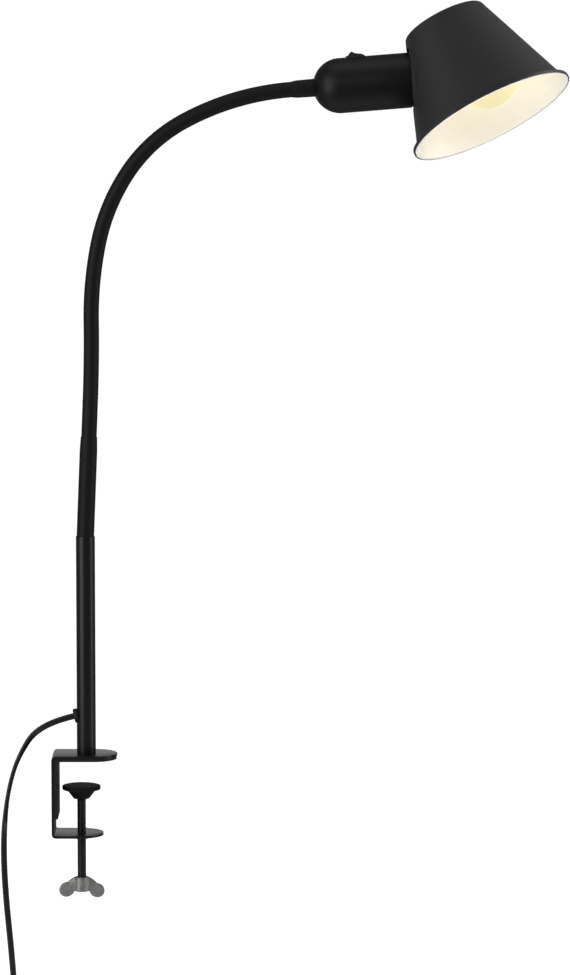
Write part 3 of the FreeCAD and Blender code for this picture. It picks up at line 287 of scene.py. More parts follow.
# %% The flat cord
CORD_WIDTH, CORD_THICKNESS = 4.7, 2.7


def even_steps(points, step):
    """The same line with its points a step apart."""
    run = run_along(points)
    at = np.linspace(0, run[-1], int(run[-1] / step) + 1)
    return np.stack([np.interp(at, run, points[:, k]) for k in range(3)], -1), at


def across_and_up(points):
    """Directions level across the line, which runs in an upright plane, and square to both."""
    way = unit(np.gradient(points, axis=0))
    side = np.array([0.0, 1.0, 0.0])
    across = unit(side - (way @ side)[:, None] * way)
    return across, np.cross(way, across)


def twin_section():
    """Round the section: two circles of half the thickness, joined, with a shallow pinch between them."""
    a = full_turn(28)
    half = CORD_THICKNESS / 2
    core = (CORD_WIDTH - CORD_THICKNESS) / 2
    x = core * np.tanh(3 * np.cos(a)) / math.tanh(3) + half * np.cos(a)
    y = half * np.sin(a) * (1 - 0.16 * np.exp(-(x / 0.55) ** 2))
    return x, y


cord_run, cord_at = even_steps(cord_points, 1.1)
cord_across, cord_up = across_and_up(cord_run)
hang_length = float(cord_at[np.argmax(cord_run[:, 2] < -205.0)])
share = np.clip(cord_at / hang_length, 0, 1)
turns_at = [0.0, 0.12, 0.19, 0.27, 0.36, 0.44, 0.56, 0.86, 1.0]
twist = np.interp(share, turns_at, [90, 76, 28, 18, 22, 66, 88, 82, 0])
twist = np.radians(np.convolve(np.pad(twist, 10, mode="edge"), np.ones(21) / 21, mode="valid"))
x, y = twin_section()
broad = cord_across * np.cos(twist)[:, None] + cord_up * np.sin(twist)[:, None]
thin = -cord_across * np.sin(twist)[:, None] + cord_up * np.cos(twist)[:, None]
cord_surface = cord_run[:, None] + x[None, :, None] * broad[:, None] + y[None, :, None] * thin[:, None]
ends = cord_surface[[0, -1]].mean(1, keepdims=True) + 0 * cord_surface[[0, -1]]
cord_surface = np.concatenate([ends[:1], cord_surface, ends[1:]])
cord_rows = np.r_[0, cord_at, cord_at[-1]]
cord_mesh = grid_mesh("flat_cord", cord_surface, uv_mm=(12.0, cord_rows), crease=60.0)
flat_cord = put_down(cord_mesh, "stand", "cord_plastic", "cord", "cord_coil")
print("flat cord: %d faces" % len(cord_mesh.polygons))

# %% [markdown]
# ## Plug and tie
# Under the coil hangs a flat two-pin plug: a body that widens from the cord to the pins, a ribbed boot that
# keeps the cord from kinking, and two round pins whose roots are sheathed. A hook-and-loop strap holds the coil.

# %% Plug, boot, pins and strap
plug_place = Place(CORD_END, (1, 0, 0), (0, 0, 1))


def superellipse(count, power):
    """cos and sin of an angle, each raised to 2 / power with its sign kept: a soft rectangle of half width one."""
    c, s = np.cos(full_turn(count)), np.sin(full_turn(count))
    return np.sign(c) * np.abs(c) ** (2 / power), np.sign(s) * np.abs(s) ** (2 / power)


BOOT_LENGTH, PIN_SPREAD, PIN_START = 20.0, 9.3, 54.0
down = np.array([0.0, 0.0, 0.0, 0.6, 1.6, 4, 9, 15, 21, 25, 28, 31, 32.8, 33.6, 34.0, 34.0])
wide = np.array([0.0, 6.0, 7.6, 8.4, 8.8, 9.6, 11.6, 14.0, 16.4, 17.5, 17.65, 17.65, 17.55, 17.2, 16.4, 0.0])
thick = np.array([0.0, 4.4, 5.4, 6.1, 6.5, 6.75, 6.85, 6.85, 6.85, 6.85, 6.85, 6.85, 6.8, 6.5, 5.9, 0.0])
u, v = superellipse(72, 3.6)
plug_points = np.stack([np.outer(wide, u), np.outer(thick, v), np.outer(-BOOT_LENGTH - down, np.ones(72))], -1)
plug_mesh = grid_mesh("plug_shell", plug_place.put(plug_points), crease=50.0)
plug_shell = put_down(plug_mesh, "stand", "black_plastic", "plug_body")
rib = np.linspace(0, 1, 121)
boot_radius = 3.4 + 1.6 * rib - 0.45 * (np.sin(rib * 2 * np.pi * 6) < -0.2) * (rib > 0.08) * (rib < 0.9)
boot_profile = np.stack([np.r_[0, boot_radius, 0], -BOOT_LENGTH * np.r_[0, rib, 1]], -1)
boot = turned("ribbed_boot", "stand", "cord_plastic", ["plug_boot"], boot_profile, plug_place, 48, closed=False)
pin_sleeve = [(0.0, -8.0), (2.0, -8.0), (1.9, 0.2), (1.9, 9.8), (2.0, 10.2)]
pin_profile = np.concatenate([pin_sleeve, arc(17.0, 2.0, 90, 0, 9)])
pins = []
for name, node, x in (("plug_pin_left", "plug_pin_1", -PIN_SPREAD), ("plug_pin_right", "plug_pin_2", PIN_SPREAD)):
    pin_place = Place(CORD_END + (x, 0, -PIN_START), (1, 0, 0), (0, 0, -1))
    pins.append(turned(name, "stand", "brass", [node], pin_profile, pin_place, 32, closed=False,
                       finish_of_row=[1] * 4 + [0] * 10))
print("plug: %d faces" % len(plug_mesh.polygons))

# %% The strap round the coil
STRAP_HALF, STRAP_GAP, STRAP_OUT = 3.0, 0.05, 0.95
strap_low = np.array([-57.55, -2.35])
strap_high = np.array([-39.7, 17.95])
strap_path = softened([strap_low, (strap_high[0], strap_low[1]), strap_high, (strap_low[0], strap_high[1])], 1.6, 8)
strap_ahead = np.roll(strap_path, -1, 0) - np.roll(strap_path, 1, 0)
strap_out = unit(np.stack([strap_ahead[:, 1], -strap_ahead[:, 0]], -1))
band = softened([(STRAP_GAP, -STRAP_HALF), (STRAP_OUT, -STRAP_HALF), (STRAP_OUT, STRAP_HALF),
                 (STRAP_GAP, STRAP_HALF)], 0.3, 4)
strap_points = np.empty((len(strap_path), len(band), 3))
strap_points[..., :2] = strap_path[:, None] + band[None, :, :1] * strap_out[:, None]
strap_points[..., 2] = coil_centre[2] + band[None, :, 1]
strap_mesh = grid_mesh("cord_strap", strap_points, closed_rows=True)
cord_strap = put_down(strap_mesh, "stand", "black_plastic", "coil_tie")

# %% [markdown]
# ## Clamp
# The clamp is one strip of steel, 35 mm wide and 2 mm thick, bent into a C. Both jaws end in half rounds. The
# strip's section, a rectangle with rounded edges, is carried along the bent line, and towards each tip its
# half width follows a circle: the root of R squared minus the square of the distance from the round's centre.
# A plastic liner, thicker behind than on top, keeps the steel off the table.

# %% Strip with round ends


def bent_line(corners, radius, end_round):
    """Points along a bent line in the xz plane, closest together where the rounded ends need them."""
    inside = softened(corners, radius, 9, closed=False)[1:-1]
    ends = []
    for end, neighbour, reach in ((corners[0], inside[0], end_round[0]), (corners[-1], inside[-1], end_round[1])):
        end = np.array(end, float)
        spread = reach * (1 - np.cos(np.linspace(0, np.pi / 2, 26))) if reach else np.array([0.0, 0.5])
        ends.append(end + np.outer(spread, (neighbour - end) / np.linalg.norm(neighbour - end)))
    return np.concatenate([ends[0], inside, ends[1][::-1]])


def strip_mesh(name, corners, radius, half_width, thickness, rounds, edge):
    """Section with rounded edges carried along the bent line. Half width near an end d away: root of R^2 - (R - d)^2.

    Two thicknesses are those before and after the last bend, with an even change through it.
    """
    path = bent_line(corners, radius, rounds)
    way = unit(np.gradient(path, axis=0))
    normal = np.stack([-way[:, 1], way[:, 0]], -1)
    run = run_along(path)
    half = np.full(len(path), half_width)
    for distance, end in ((run, rounds[0]), (run[-1] - run, rounds[1])):
        if end > 0.5:
            near = np.clip(distance, 0, end)
            half = np.minimum(half, half_width * np.sqrt(np.maximum(1 - (1 - near / end) ** 2, 0)))
    a = np.radians([0, 22.5, 45, 67.5, 90])
    soft = np.minimum(edge, half)[:, None]
    before, after = np.broadcast_to(thickness, 2)
    last_leg = np.hypot(*(path - path[-1]).T)
    leg = math.dist(corners[-1], corners[-2])
    flat = (np.interp(last_leg, [leg - 1.5, leg], [after, before]) / 2 - edge)[:, None]
    y, n = half[:, None] - soft + soft * np.cos(a), flat + edge * np.sin(a)
    y = np.concatenate([y, -y[:, ::-1], -y, y[:, ::-1]], 1)
    n = np.concatenate([n, n[:, ::-1], -n, -n[:, ::-1]], 1)
    points = np.stack([path[:, :1] + n * normal[:, :1], y, path[:, 1:] + n * normal[:, 1:]], -1)
    # a round end closes itself where its width is nothing, and a square one gets a middle point
    middles = points[[0, -1]].mean(1, keepdims=True) * (1, 0, 1) + 0 * points[[0, -1]]
    first_open, last_open = (half[[0, -1]] > 0).astype(int)
    return grid_mesh(name, np.concatenate([middles[:first_open], points, middles[2 - last_open:]]))


bracket_mesh = strip_mesh("steel_bracket", [(23.3, 3.3), (-24.8, 3.3), (-24.8, -57.4), (12.7, -57.4)],
                          2.4, 17.5, 2.0, (17.5, 17.5), 0.35)
steel_bracket = put_down(bracket_mesh, "stand", "black_steel", "clamp_bracket")
liner_mesh = strip_mesh("table_liner", [(22.8, 1.15), (-22.4, 1.15), (-22.4, -43.6)],
                        1.4, 17.0, (2.3, 2.8), (17.0, 0.0), 0.4)
table_liner = put_down(liner_mesh, "stand", "black_plastic", "clamp_liner")
print("bracket: %d faces" % len(bracket_mesh.polygons))

# %% [markdown]
# ## Clamp screw
# The screw runs in a tapped collar under the lower jaw and turns in the foot on a ball. Its thread is real
# geometry: the radius drops by up to 0.2 mm with a triangle wave of the height less the angle, one pitch a turn.
# It is 6.6 mm across its crests, as the photograph shows it, so the collar is bored a little wider. The foot is
# a flat pad over a steep hollow cone, which holds the ball.

# %% Collar, screw and foot
SCREW_X = -3.9
screw_place = Place((SCREW_X, 0, 0), (1, 0, 0), (0, 0, 1))
collar_ring = turned("screw_collar", "stand", "black_steel", [],
                     softened([(3.35, -61.4), (4.6, -61.4), (4.6, -58.2), (3.35, -58.2)], 0.3), screw_place, 64)
BALL_Z, SHANK_TOP, SCREW_END = -26.6, -31.4, -101.7
THREAD_RADIUS, THREAD_DEPTH = 3.3, 0.2
shank = np.linspace(SHANK_TOP, SCREW_END, 551)
around = full_turn(36)
phase = (shank[:, None] - around / (2 * np.pi)) % 1.0
cut_depth = THREAD_DEPTH * np.clip(1.5 * (1 - np.abs(2 * phase - 1)) - 0.5, 0, 1)
fade = np.clip((SHANK_TOP - 0.6 - shank) / 1.2, 0, 1)[:, None]
shank_radius = THREAD_RADIUS - cut_depth * fade
ball_and_neck = np.concatenate([arc(BALL_Z, 4.15, 0, 143, 22), [(2.5, -30.1), (2.5, -31.0), (2.9, -31.3)]])
tip = shank_radius[-1:]
radii = np.concatenate([ball_and_neck[:, :1] * np.ones(36), shank_radius, tip * 0.8, tip * 0])
heights = np.concatenate([ball_and_neck[:, 1], shank, [SCREW_END - 0.4, SCREW_END - 0.4]])
screw_mesh = grid_mesh("threaded_screw", about_axis(radii, heights[:, None], around, screw_place), crease=40.0)
threaded_screw = put_down(screw_mesh, "screw", "black_steel", "clamp_screw")
foot_outside = softened([(0.0, -20.4), (12.8, -20.4), (14.5, -20.8), (14.4, -23.4), (10.6, -24.4), (6.0, -30.4),
                         (3.5, -30.6)], [0, 2.0, 0.4, 0.6, 0.8, 0.5, 0], 5, closed=False)
foot_inside = arc(BALL_Z, 4.25, 145.5, 0, 14)
foot = turned("swivel_foot", "foot", "black_plastic", ["pressure_foot"],
              np.concatenate([foot_outside, foot_inside]), screw_place, 96, closed=False)
print("screw: %d faces, %d turns of thread" % (len(screw_mesh.polygons), int(SHANK_TOP - SCREW_END)))

# %% [markdown]
# The wing nut is a rough casting: a tapered barrel with two round wings. Castings have no crisp joins, so the
# parts are first stacked as separate forms, then remade as one skin of small cubes and smoothed.

# %% Wing nut


def melted(name, forms, voxel, smoothing):
    """One skin round several overlapping forms: voxel remesh, then the smooth modifier, both applied."""
    mesh = bpy.data.meshes.new(name + "_rough")
    corners, faces, base = [], [], 0
    for form in forms:
        corners.append(form.reshape(-1, 3) * MM)
        faces.append(grid_faces(form.shape[0], form.shape[1], False)[0] + base)
        base += len(corners[-1])
    mesh.from_pydata(np.concatenate(corners).tolist(), [], np.concatenate(faces).tolist())
    tidy_mesh(mesh)
    rough = in_scene(mesh.name, mesh)
    remesh = rough.modifiers.new("skin", "REMESH")
    remesh.mode = "VOXEL"
    remesh.voxel_size = voxel * MM
    smooth = rough.modifiers.new("smooth", "SMOOTH")
    smooth.factor = 0.5
    smooth.iterations = smoothing
    skin = applied(rough)
    skin.name = name
    bpy.data.objects.remove(rough)
    skin.shade_smooth()
    return skin


def wing(side):
    """A flat round lobe: rows across its thickness from edge to edge, each a circle that shrinks at both faces."""
    t = np.linspace(-np.pi / 2, np.pi / 2, 13)
    spread = (5.7 if side < 0 else 5.55) - 1.1 * (1 - np.cos(t)) ** 2
    spread[[0, -1]] = 0
    depth = 1.75 * np.sign(t) * np.abs(np.sin(t)) ** 0.8
    a = full_turn(48)
    dx = np.outer(spread, np.cos(a)) * 1.06
    dz = np.outer(spread, np.sin(a)) * 0.97
    lean = math.radians(26) * side
    x = SCREW_X + side * 11.35 + dx * math.cos(lean) + dz * math.sin(lean)
    z = (-100.6 if side < 0 else -101.2) - dx * math.sin(lean) + dz * math.cos(lean)
    return np.stack([x, np.broadcast_to(depth[:, None], x.shape), z], -1)


def root(side):
    """The web between barrel and lobe: an oval bar whose top leaves the barrel's and falls with the power 1.2."""
    t = np.linspace(0, 1, 12)
    a = full_turn(24)
    x = SCREW_X + side * (2.0 + 10.0 * t)
    highest = -90.9 - 4.7 * np.clip((t - 0.36) / 0.64, 0, 1) ** 1.2
    lowest = -98.3 - 5.8 * t
    height, middle = (highest - lowest) / 2, (highest + lowest) / 2
    depth = 2.4 - 0.9 * t
    height[[0, -1]] = 0
    depth[[0, -1]] = 0
    return np.stack([np.outer(x, np.ones(24)), np.outer(depth, np.cos(a)),
                     middle[:, None] + np.outer(height, np.sin(a))], -1)


barrel_profile = softened([(0, -90.7), (5.2, -90.7), (5.8, -101.8), (0, -101.8)], [0, 0.6, 0.7, 0], 5, closed=False)
nut_mesh = melted("cast_wing_nut", [turned_points(barrel_profile, screw_place, 64), wing(1), wing(-1),
                                    root(1), root(-1)], 0.36, 6)
cast_wing_nut = put_down(nut_mesh, "screw", "grey_cast_metal", "wing_nut")
print("wing nut: %d faces" % len(nut_mesh.polygons))

# %% [markdown]
# ## Pole and bush
# The pole is a painted steel tube, 14.3 mm thick. The cord goes into it through a small moulded bush whose
# mouth is dished, so that the cord has no sharp edge to bend over.

# %% Pole and bush
POLE_TOP, BUSH_DROP = 169.3, math.radians(13.0)
pole = turned("steel_pole", "stand", "black_steel", ["pole"],
              softened([(6.15, 4.3), (7.15, 4.3), (7.15, POLE_TOP), (6.15, POLE_TOP)], 0.3), UPRIGHT, 128)
bush_place = Place((0, 0, 34.5), (0, 1, 0), (-math.cos(BUSH_DROP), 0.0, -math.sin(BUSH_DROP)))
bush = turned("cord_bush", "stand", "black_plastic", ["cord_gland"], softened(
    [(2.36, 4.6), (4.0, 4.6), (4.0, 6.45), (5.4, 6.45), (5.4, 9.38), (3.3, 9.38), (2.36, 8.15)],
    [0.1, 0.2, 0.1, 0.2, 0.7, 0.5, 0.4]), bush_place, 72)
print("pole and bush are", len(pole.data.polygons), "and", len(bush.data.polygons), "faces")

# %% [markdown]
# ## Gooseneck
# A gooseneck is a steel hose in a shrunk black sheath. Its line starts upright in the pole's top and bends
# over. The heading changes evenly within each stretch, so the line is the running sum of the heading's cosine
# and sine. Six joints bend it, and a sheath in one piece would tear there, so the sheath is six pieces. Each
# reaches from the middle of one stretch to the middle of the next and is blended over the joint between.

# %% The neck's line
STATIONS = np.array([0.0, 104.1, 161.8, 219.5, 277.2, 334.9, 392.6, 418.9, 435.1])
HEADINGS = np.array([87.65, 87.65, 90.55, 78.65, 56.55, 28.55, 11.85, 4.55, 4.55])
neck_step = 0.05
neck_run = np.arange(0, STATIONS[-1] + neck_step, neck_step)
middle_heading = np.radians(np.interp(neck_run[:-1] + neck_step / 2, STATIONS, HEADINGS))
neck_x = np.r_[0, np.cumsum(np.cos(middle_heading)) * neck_step]
neck_z = POLE_TOP + np.r_[0, np.cumsum(np.sin(middle_heading)) * neck_step]


def neck_at(station):
    """Points and headings at stations along the neck. Before its start and past its end it runs straight on."""
    station = np.asarray(station, float)
    inside = np.clip(station, 0, STATIONS[-1])
    heading = np.radians(np.interp(inside, STATIONS, HEADINGS))
    x = np.interp(inside, neck_run, neck_x) + (station - inside) * np.cos(heading)
    z = np.interp(inside, neck_run, neck_z) + (station - inside) * np.sin(heading)
    return np.stack([x, 0 * x, z], -1), heading


def neck_tube(name, start, end, outer, inner, ripple, step, columns):
    """A tube about the neck's line: rows go out along its outside, which has a fine ripple, and back inside."""
    along = np.linspace(start, end, int((end - start) / step) + 2)
    station = np.r_[along, along[::-1]]
    radius = np.r_[outer + 0 * along, inner + 0 * along]
    centre, heading = neck_at(station)
    a = full_turn(columns)
    wave = ripple * np.sin(2 * np.pi * station[:, None] / 2.4 - a) * (radius[:, None] > (outer + inner) / 2)
    r = radius[:, None] + wave
    out = np.stack([-np.sin(heading), 0 * heading, np.cos(heading)], -1)
    points = centre[:, None] + (r * np.cos(a))[..., None] * out[:, None]
    points[..., 1] += r * np.sin(a)
    return grid_mesh(name, points, closed_rows=True, crease=50.0, uv_mm=(2 * np.pi * outer, station))


neck_end, neck_end_heading = neck_at(STATIONS[-1])
print("neck ends at", neck_end.round(2), "heading %.2f" % math.degrees(neck_end_heading))

# %% Sheath, hose and lead, joint by joint
HALF_PITCH = 57.7 / 2
cuts = np.r_[0.0, STATIONS[1:6] + HALF_PITCH, 0.0]
# each layer's slot, node, first and last station, outer and inner radius, ripple, step and columns
LAYERS = {
    "sheath": ("sheath_plastic", "neck_sheath_%d", 0.0, 425.1, 5.8, 5.08, 0.035, 0.6, 40),
    "hose": ("plated_steel", "neck_hose_%d", -18.0, STATIONS[-1], 5.02, 2.42, 0.0, 2.0, 20),
    "lead": ("cord_plastic", "lead_%d", 2.0, STATIONS[-1] + 50.4, 2.3, 0.02, 0.0, 2.0, 20),
}
neck_pieces = {layer: [] for layer in LAYERS}
for k in range(6):
    for layer, (slot_name, node, first, last, outer, inner, ripple, step, columns) in LAYERS.items():
        mesh = neck_tube("neck_%s_piece_%d" % (layer, k + 1), first if k == 0 else cuts[k],
                         last if k == 5 else cuts[k + 1], outer, inner, ripple, step, columns)
        piece = put_down(mesh, None, slot_name)
        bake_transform(piece)
        stands_for = [0, 1] if k == 0 and layer != "lead" else [k + 1]
        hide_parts(*[node % number for number in stands_for])
        neck_pieces[layer].append(piece)
print("neck pieces:", {layer: len(made) for layer, made in neck_pieces.items()})

# %% [markdown]
# Two sleeves finish the neck. The lower one stands on the pole's rim and thins to the sheath over its last
# centimetre. The upper one flares to meet the housing's dome.

# %% Sleeves
HOUSING_R, HOUSING_BORE, HOUSING_FRONT = 20.5, 19.3, 51.9
neck_start, head_heading = math.radians(HEADINGS[0]), math.radians(HEADINGS[-1])
lower_place = Place((0, 0, POLE_TOP), (1, 0, 0), (math.cos(neck_start), 0.0, math.sin(neck_start)))
lower_profile = softened([(5.85, -0.4), (6.6, -0.4), (6.6, 65.0), (6.15, 75.0), (5.85, 75.0)],
                         [0.1, 0.25, 14.0, 0.15, 0.1], 8)
lower_points = turned_points(lower_profile, lower_place, 96)
lower_points[..., 2] = np.maximum(lower_points[..., 2], POLE_TOP + 0.02)
lower_mesh = grid_mesh("lower_neck_sleeve", lower_points, closed_rows=True)
lower_neck_sleeve = put_down(lower_mesh, "stand", "black_plastic", "lower_sleeve")
tube_way = np.array([math.cos(head_heading), 0.0, math.sin(head_heading)])
up_way = np.array([-tube_way[2], 0.0, tube_way[0]])
dome_centre = neck_end + HOUSING_R * tube_way
head_place = Place(dome_centre, up_way, tube_way)
upper_profile = softened([(5.85, -36.0), (6.0, -36.0), (6.5, -32.5), (6.75, -19.0), (5.85, -19.0)],
                         [0.1, 0.3, 6.0, 0.1, 0.1])
upper_neck_sleeve = turned("upper_neck_sleeve", "head", "black_plastic", ["upper_sleeve"], upper_profile,
                           head_place, 96)
print("housing's dome centre", dome_centre.round(2))

# %% [markdown]
# ## Housing
# The housing is a thin shell: half a ball and a tube of the same radius, 41 mm across. The outside profile runs
# from the hole for the nipple over the dome to the open front, and the inside runs back, 1.2 mm deeper.

# %% Housing shell
shell_profile = np.concatenate([
    arc(0.0, HOUSING_R, 165.9, 90, 40),
    [(HOUSING_R, 24.0), (HOUSING_R, 51.4), (20.35, 51.75), (20.0, HOUSING_FRONT)],
    [(19.5, HOUSING_FRONT), (HOUSING_BORE, 51.7), (HOUSING_BORE, 24.0)],
    arc(0.0, HOUSING_BORE, 90, 165.0, 30),
])
shell = turned("housing_shell", "head", "housing_paint", ["holder_shell"], shell_profile, head_place, 144)
print("housing shell: %d faces" % len(shell.data.polygons))

# %% [markdown]
# ## Rocker switch
# A small rocker sits on top of the housing, its rear end up. The frame round it is a raised rim carried round a
# soft rectangle. The rocker is its side outline, cut by a drum about its pin, carried across its width.

# %% Switch frame and rocker
SWITCH_Z = 12.7
rim_path = softened([(-7.15, -5.5), (7.15, -5.5), (7.15, 5.5), (-7.15, 5.5)], 1.2, 7)
hole_path = softened([(-6.3, -3.8), (6.3, -3.8), (6.3, 3.8), (-6.3, 3.8)], 0.5, 7)
rim_section = [(0.0, -2.2), (0.0, 0.55), (0.14, 0.86), (0.42, 1.0), (0.8, 1.0), (0.95, 0.9), (1.0, 0.7), (1.0, -4.0)]
rim_rows = []
for share_in, height in rim_section:
    flat = rim_path * (1 - share_in) + hole_path * share_in
    saddle = np.sqrt(HOUSING_R ** 2 - flat[:, 1] ** 2)
    rim_rows.append(np.stack([saddle * (height < 0.9) + HOUSING_R * (height >= 0.9) + height, flat[:, 1],
                              SWITCH_Z + flat[:, 0]], -1))
rim_mesh = grid_mesh("switch_rim", head_place.put(np.array(rim_rows)), closed_rows=True, crease=40.0)
switch_rim = put_down(rim_mesh, "head", "black_plastic", "switch_housing")
drum = np.radians(np.r_[np.linspace(104, 26.0, 9), np.linspace(-62.7, -104, 8)])
drum_radius = np.r_[np.linspace(6.0, 5.5, 9), np.full(8, 6.0)]
rocker_side = np.stack([-drum_radius * np.sin(drum), 19.5 + drum_radius * np.cos(drum)], -1)
rocker_side = np.insert(rocker_side, 9, [(0.0, 23.0)], axis=0)
rocker_side = softened(rocker_side, [0.2] + [0.1] * 7 + [0.25, 4.0, 0.45] + [0.1] * 6 + [0.2], 5)
across = np.array([-3.5, -3.5, -3.38, -3.1, 3.1, 3.38, 3.5, 3.5])
shrink = np.array([1.0, 0.35, 0.1, 0.0, 0.0, 0.1, 0.35, 1.0])
middle = np.array([0.0, 19.4])
inward = unit(middle - rocker_side)
rocker_rows = []
for y_here, pull in zip(across, shrink):
    side_line = middle + 0 * rocker_side if pull == 1.0 else rocker_side + inward * pull
    rocker_rows.append(np.stack([side_line[:, 1], y_here + 0 * side_line[:, 1], SWITCH_Z + side_line[:, 0]], -1))
rocker_mesh = grid_mesh("rocker_key", head_place.put(np.array(rocker_rows)), crease=35.0)
rocker_key = put_down(rocker_mesh, "rocker", "black_plastic", "rocker")
print("switch: %d and %d faces" % (len(rim_mesh.polygons), len(rocker_mesh.polygons)))

# %% [markdown]
# ## Lampholder and bulb
# Inside the shade a threaded white collar carries a ring that pinches the shade against the housing. The bulb
# is a frosted globe on a screwed metal cap. The cap's thread and the collar's thread are the same rule as the
# clamp screw's, a radius that waves with height less angle, only with rounder waves.

# %% Threads on a round piece


def threaded_points(profile, place, depth, pitch, span):
    """Turned points. Within a span the radius loses depth times a rounded wave of height / pitch - angle / turn."""
    angle = full_turn(72)
    r, h = profile[:, :1], profile[:, 1:]
    wave = 0.5 - 0.5 * np.cos(2 * np.pi * (h / pitch - angle / (2 * np.pi)))
    fade = np.clip((h - span[0]) / (0.4 * pitch), 0, 1) * np.clip((span[1] - h) / (0.4 * pitch), 0, 1)
    radius = r - depth * wave * fade * (r > span[2])
    return about_axis(radius, h, angle, place)


def column_of(radius, start, end, step):
    """Many points up a straight side, close enough to carry a thread."""
    heights = np.linspace(start, end, int(abs(end - start) / step) + 2)
    return np.stack([np.full(len(heights), radius), heights], -1)


collar_profile = np.concatenate([
    [(0.0, 29.9), (19.2, 29.9), (19.2, 50.9), (17.0, 50.9)],
    column_of(17.0, 51.3, 63.5, 0.3),
    [(16.7, 63.9), (13.9, 63.9), (13.6, 63.6), (13.6, 37.9), (0.0, 37.9)],
])
collar_points = threaded_points(collar_profile, head_place, 0.55, 2.5, (52.3, 63.3, 16.9))
collar_mesh = grid_mesh("threaded_collar", collar_points, crease=40.0)
threaded_collar = put_down(collar_mesh, "head", "white_plastic", "socket_body")
washer = turned("front_washer", "head", "black_plastic", ["shade_washer"],
                softened([(17.0, HOUSING_FRONT), (19.9, HOUSING_FRONT), (19.9, 52.9), (17.0, 52.9)], 0.2),
                head_place, 128)
ring_angle = full_turn(144)
ring_profile = softened([(17.05, 54.1), (21.5, 54.1), (21.5, 60.1), (17.05, 60.1)], 0.6, 5)
grip = 0.45 * np.clip(2.2 * np.cos(24 * ring_angle), -1, 0)
ring_r = ring_profile[:, :1]
ring_points = about_axis(ring_r + grip * np.clip(ring_r - 20.5, 0, 1), ring_profile[:, 1:], ring_angle, head_place)
ring_mesh = grid_mesh("clamping_ring", ring_points, closed_rows=True, crease=40.0)
clamping_ring = put_down(ring_mesh, "head", "white_plastic", "shade_ring")
print("collar: %d faces" % len(collar_mesh.polygons))

# %% Bulb
GLOBE_R, GLOBE_Z, NECK_ANGLE = 25.7, 107.7, math.radians(17.8)
tangent_r, tangent_z = GLOBE_R * math.cos(NECK_ANGLE), GLOBE_Z - GLOBE_R * math.sin(NECK_ANGLE)
base_z = tangent_z - (tangent_r - 12.6) / math.tan(NECK_ANGLE)
cap_profile = np.concatenate([
    [(0.0, 39.9), (4.6, 39.9), (6.0, 40.2), (12.6, 42.3)],
    column_of(13.05, 42.7, base_z - 1.5, 0.35),
    [(13.0, base_z - 0.9), (12.75, base_z), (12.4, base_z + 0.15), (12.3, base_z - 1.0), (0.0, base_z - 1.2)],
])
cap_points = threaded_points(cap_profile, head_place, 0.8, 3.6, (43.1, base_z - 2.0, 12.9))
cap_mesh = grid_mesh("bulb_screw_cap", cap_points, crease=50.0)
bulb_screw_cap = put_down(cap_mesh, "head", "cap_metal", "bulb_cap")
neck_share = np.linspace(0, 1, 14)[:-1]
globe_profile = np.concatenate([
    [(0.0, base_z - 0.6), (12.0, base_z - 0.6)],
    np.stack([12.3 + (tangent_r - 12.3) * neck_share ** 1.08, base_z + (tangent_z - base_z) * neck_share], -1),
    arc(GLOBE_Z, GLOBE_R, 90 + math.degrees(NECK_ANGLE), 0, 48),
])
globe = turned("frosted_globe", "head", "warm_glass", ["bulb_globe"], globe_profile, head_place, 128, closed=False)
print("bulb: %d and %d faces" % (len(cap_mesh.polygons), len(globe.data.polygons)))

# %% [markdown]
# ## Shade
# The shade is spun from thin steel: a closed top with a rounded edge, a straight cone, and a flared lip that is
# flat and white underneath with a black edge. A flat round seat is pressed into its side, square to the
# housing, so it meets the cone in a crescent. The cone and the seat are both round but about different axes, so
# no single table of points fits both. An outside and a hollow are put together from turned solids with exact
# booleans, and the hollow and then the lampholder's hole are cut from the outside. No two solids share a plane,
# because a boolean leaves stray faces there. Each solid brings its finish: black outside and white inside.

# %% Shade's place and solids
SHADE_ROLL, SHADE_LEAN = math.radians(18.9), math.radians(21.45)
side_way = -math.cos(SHADE_ROLL) * up_way + np.array([0.0, -math.sin(SHADE_ROLL), 0.0])
shade_way = side_way * math.cos(SHADE_LEAN) + tube_way * math.sin(SHADE_LEAN)
towards_tube = -(tube_way - shade_way * (tube_way @ shade_way))
towards_tube /= np.linalg.norm(towards_tube)
front_centre = dome_centre + tube_way * HOUSING_FRONT
top_edge = front_centre - tube_way * 1.1 - side_way * 31.2
shade_place = Place(top_edge - towards_tube * 31.7, towards_tube, shade_way)
BLACK, WHITE = 0, 1
shade_looks = [bpy.data.materials.new("shade_black_outside"), bpy.data.materials.new("shade_white_inside")]


def closed_solid(name, profile, place, columns, finish_index, last_index=None):
    """A turned solid from axis to axis, kept as an object for a boolean. Its last face can have its own finish."""
    rows = [finish_index] * len(profile)
    if last_index is not None:
        rows[-2] = last_index
    piece = put_down(grid_mesh(name, turned_points(profile, place, columns), finish_of_row=rows), None, "shade_paint")
    for look in shade_looks:
        piece.data.materials.append(look)
    return piece


def combine(first, second, operation):
    """Applies one exact boolean to the first solid and removes the second."""
    step = first.modifiers.new("step", "BOOLEAN")
    step.operation = operation
    step.solver = "EXACT"
    step.object = second
    result = applied(first)
    first.modifiers.clear()
    first.data = result
    bpy.data.objects.remove(second)


outer_profile = softened([(0.0, 0.0), (31.7, 0.0), (60.2, 78.3), (64.0, 79.3), (64.0, 81.5), (62.9, 81.5)],
                         [0, 2.6, 1.0, 0.6, 0.3, 0], 10, closed=False)
hollow_profile = softened([(0.0, 0.8), (31.19, 0.8), (59.8, 79.6), (60.9, 82.6), (60.9, 84.0)],
                          [0, 1.9, 1.2, 0, 0], 10, closed=False)
print("shade's top centre", shade_place.origin.round(2), "axis", shade_way.round(3))

# %% Shade, pressed seat and hollow
SEAT_Z = 53.0


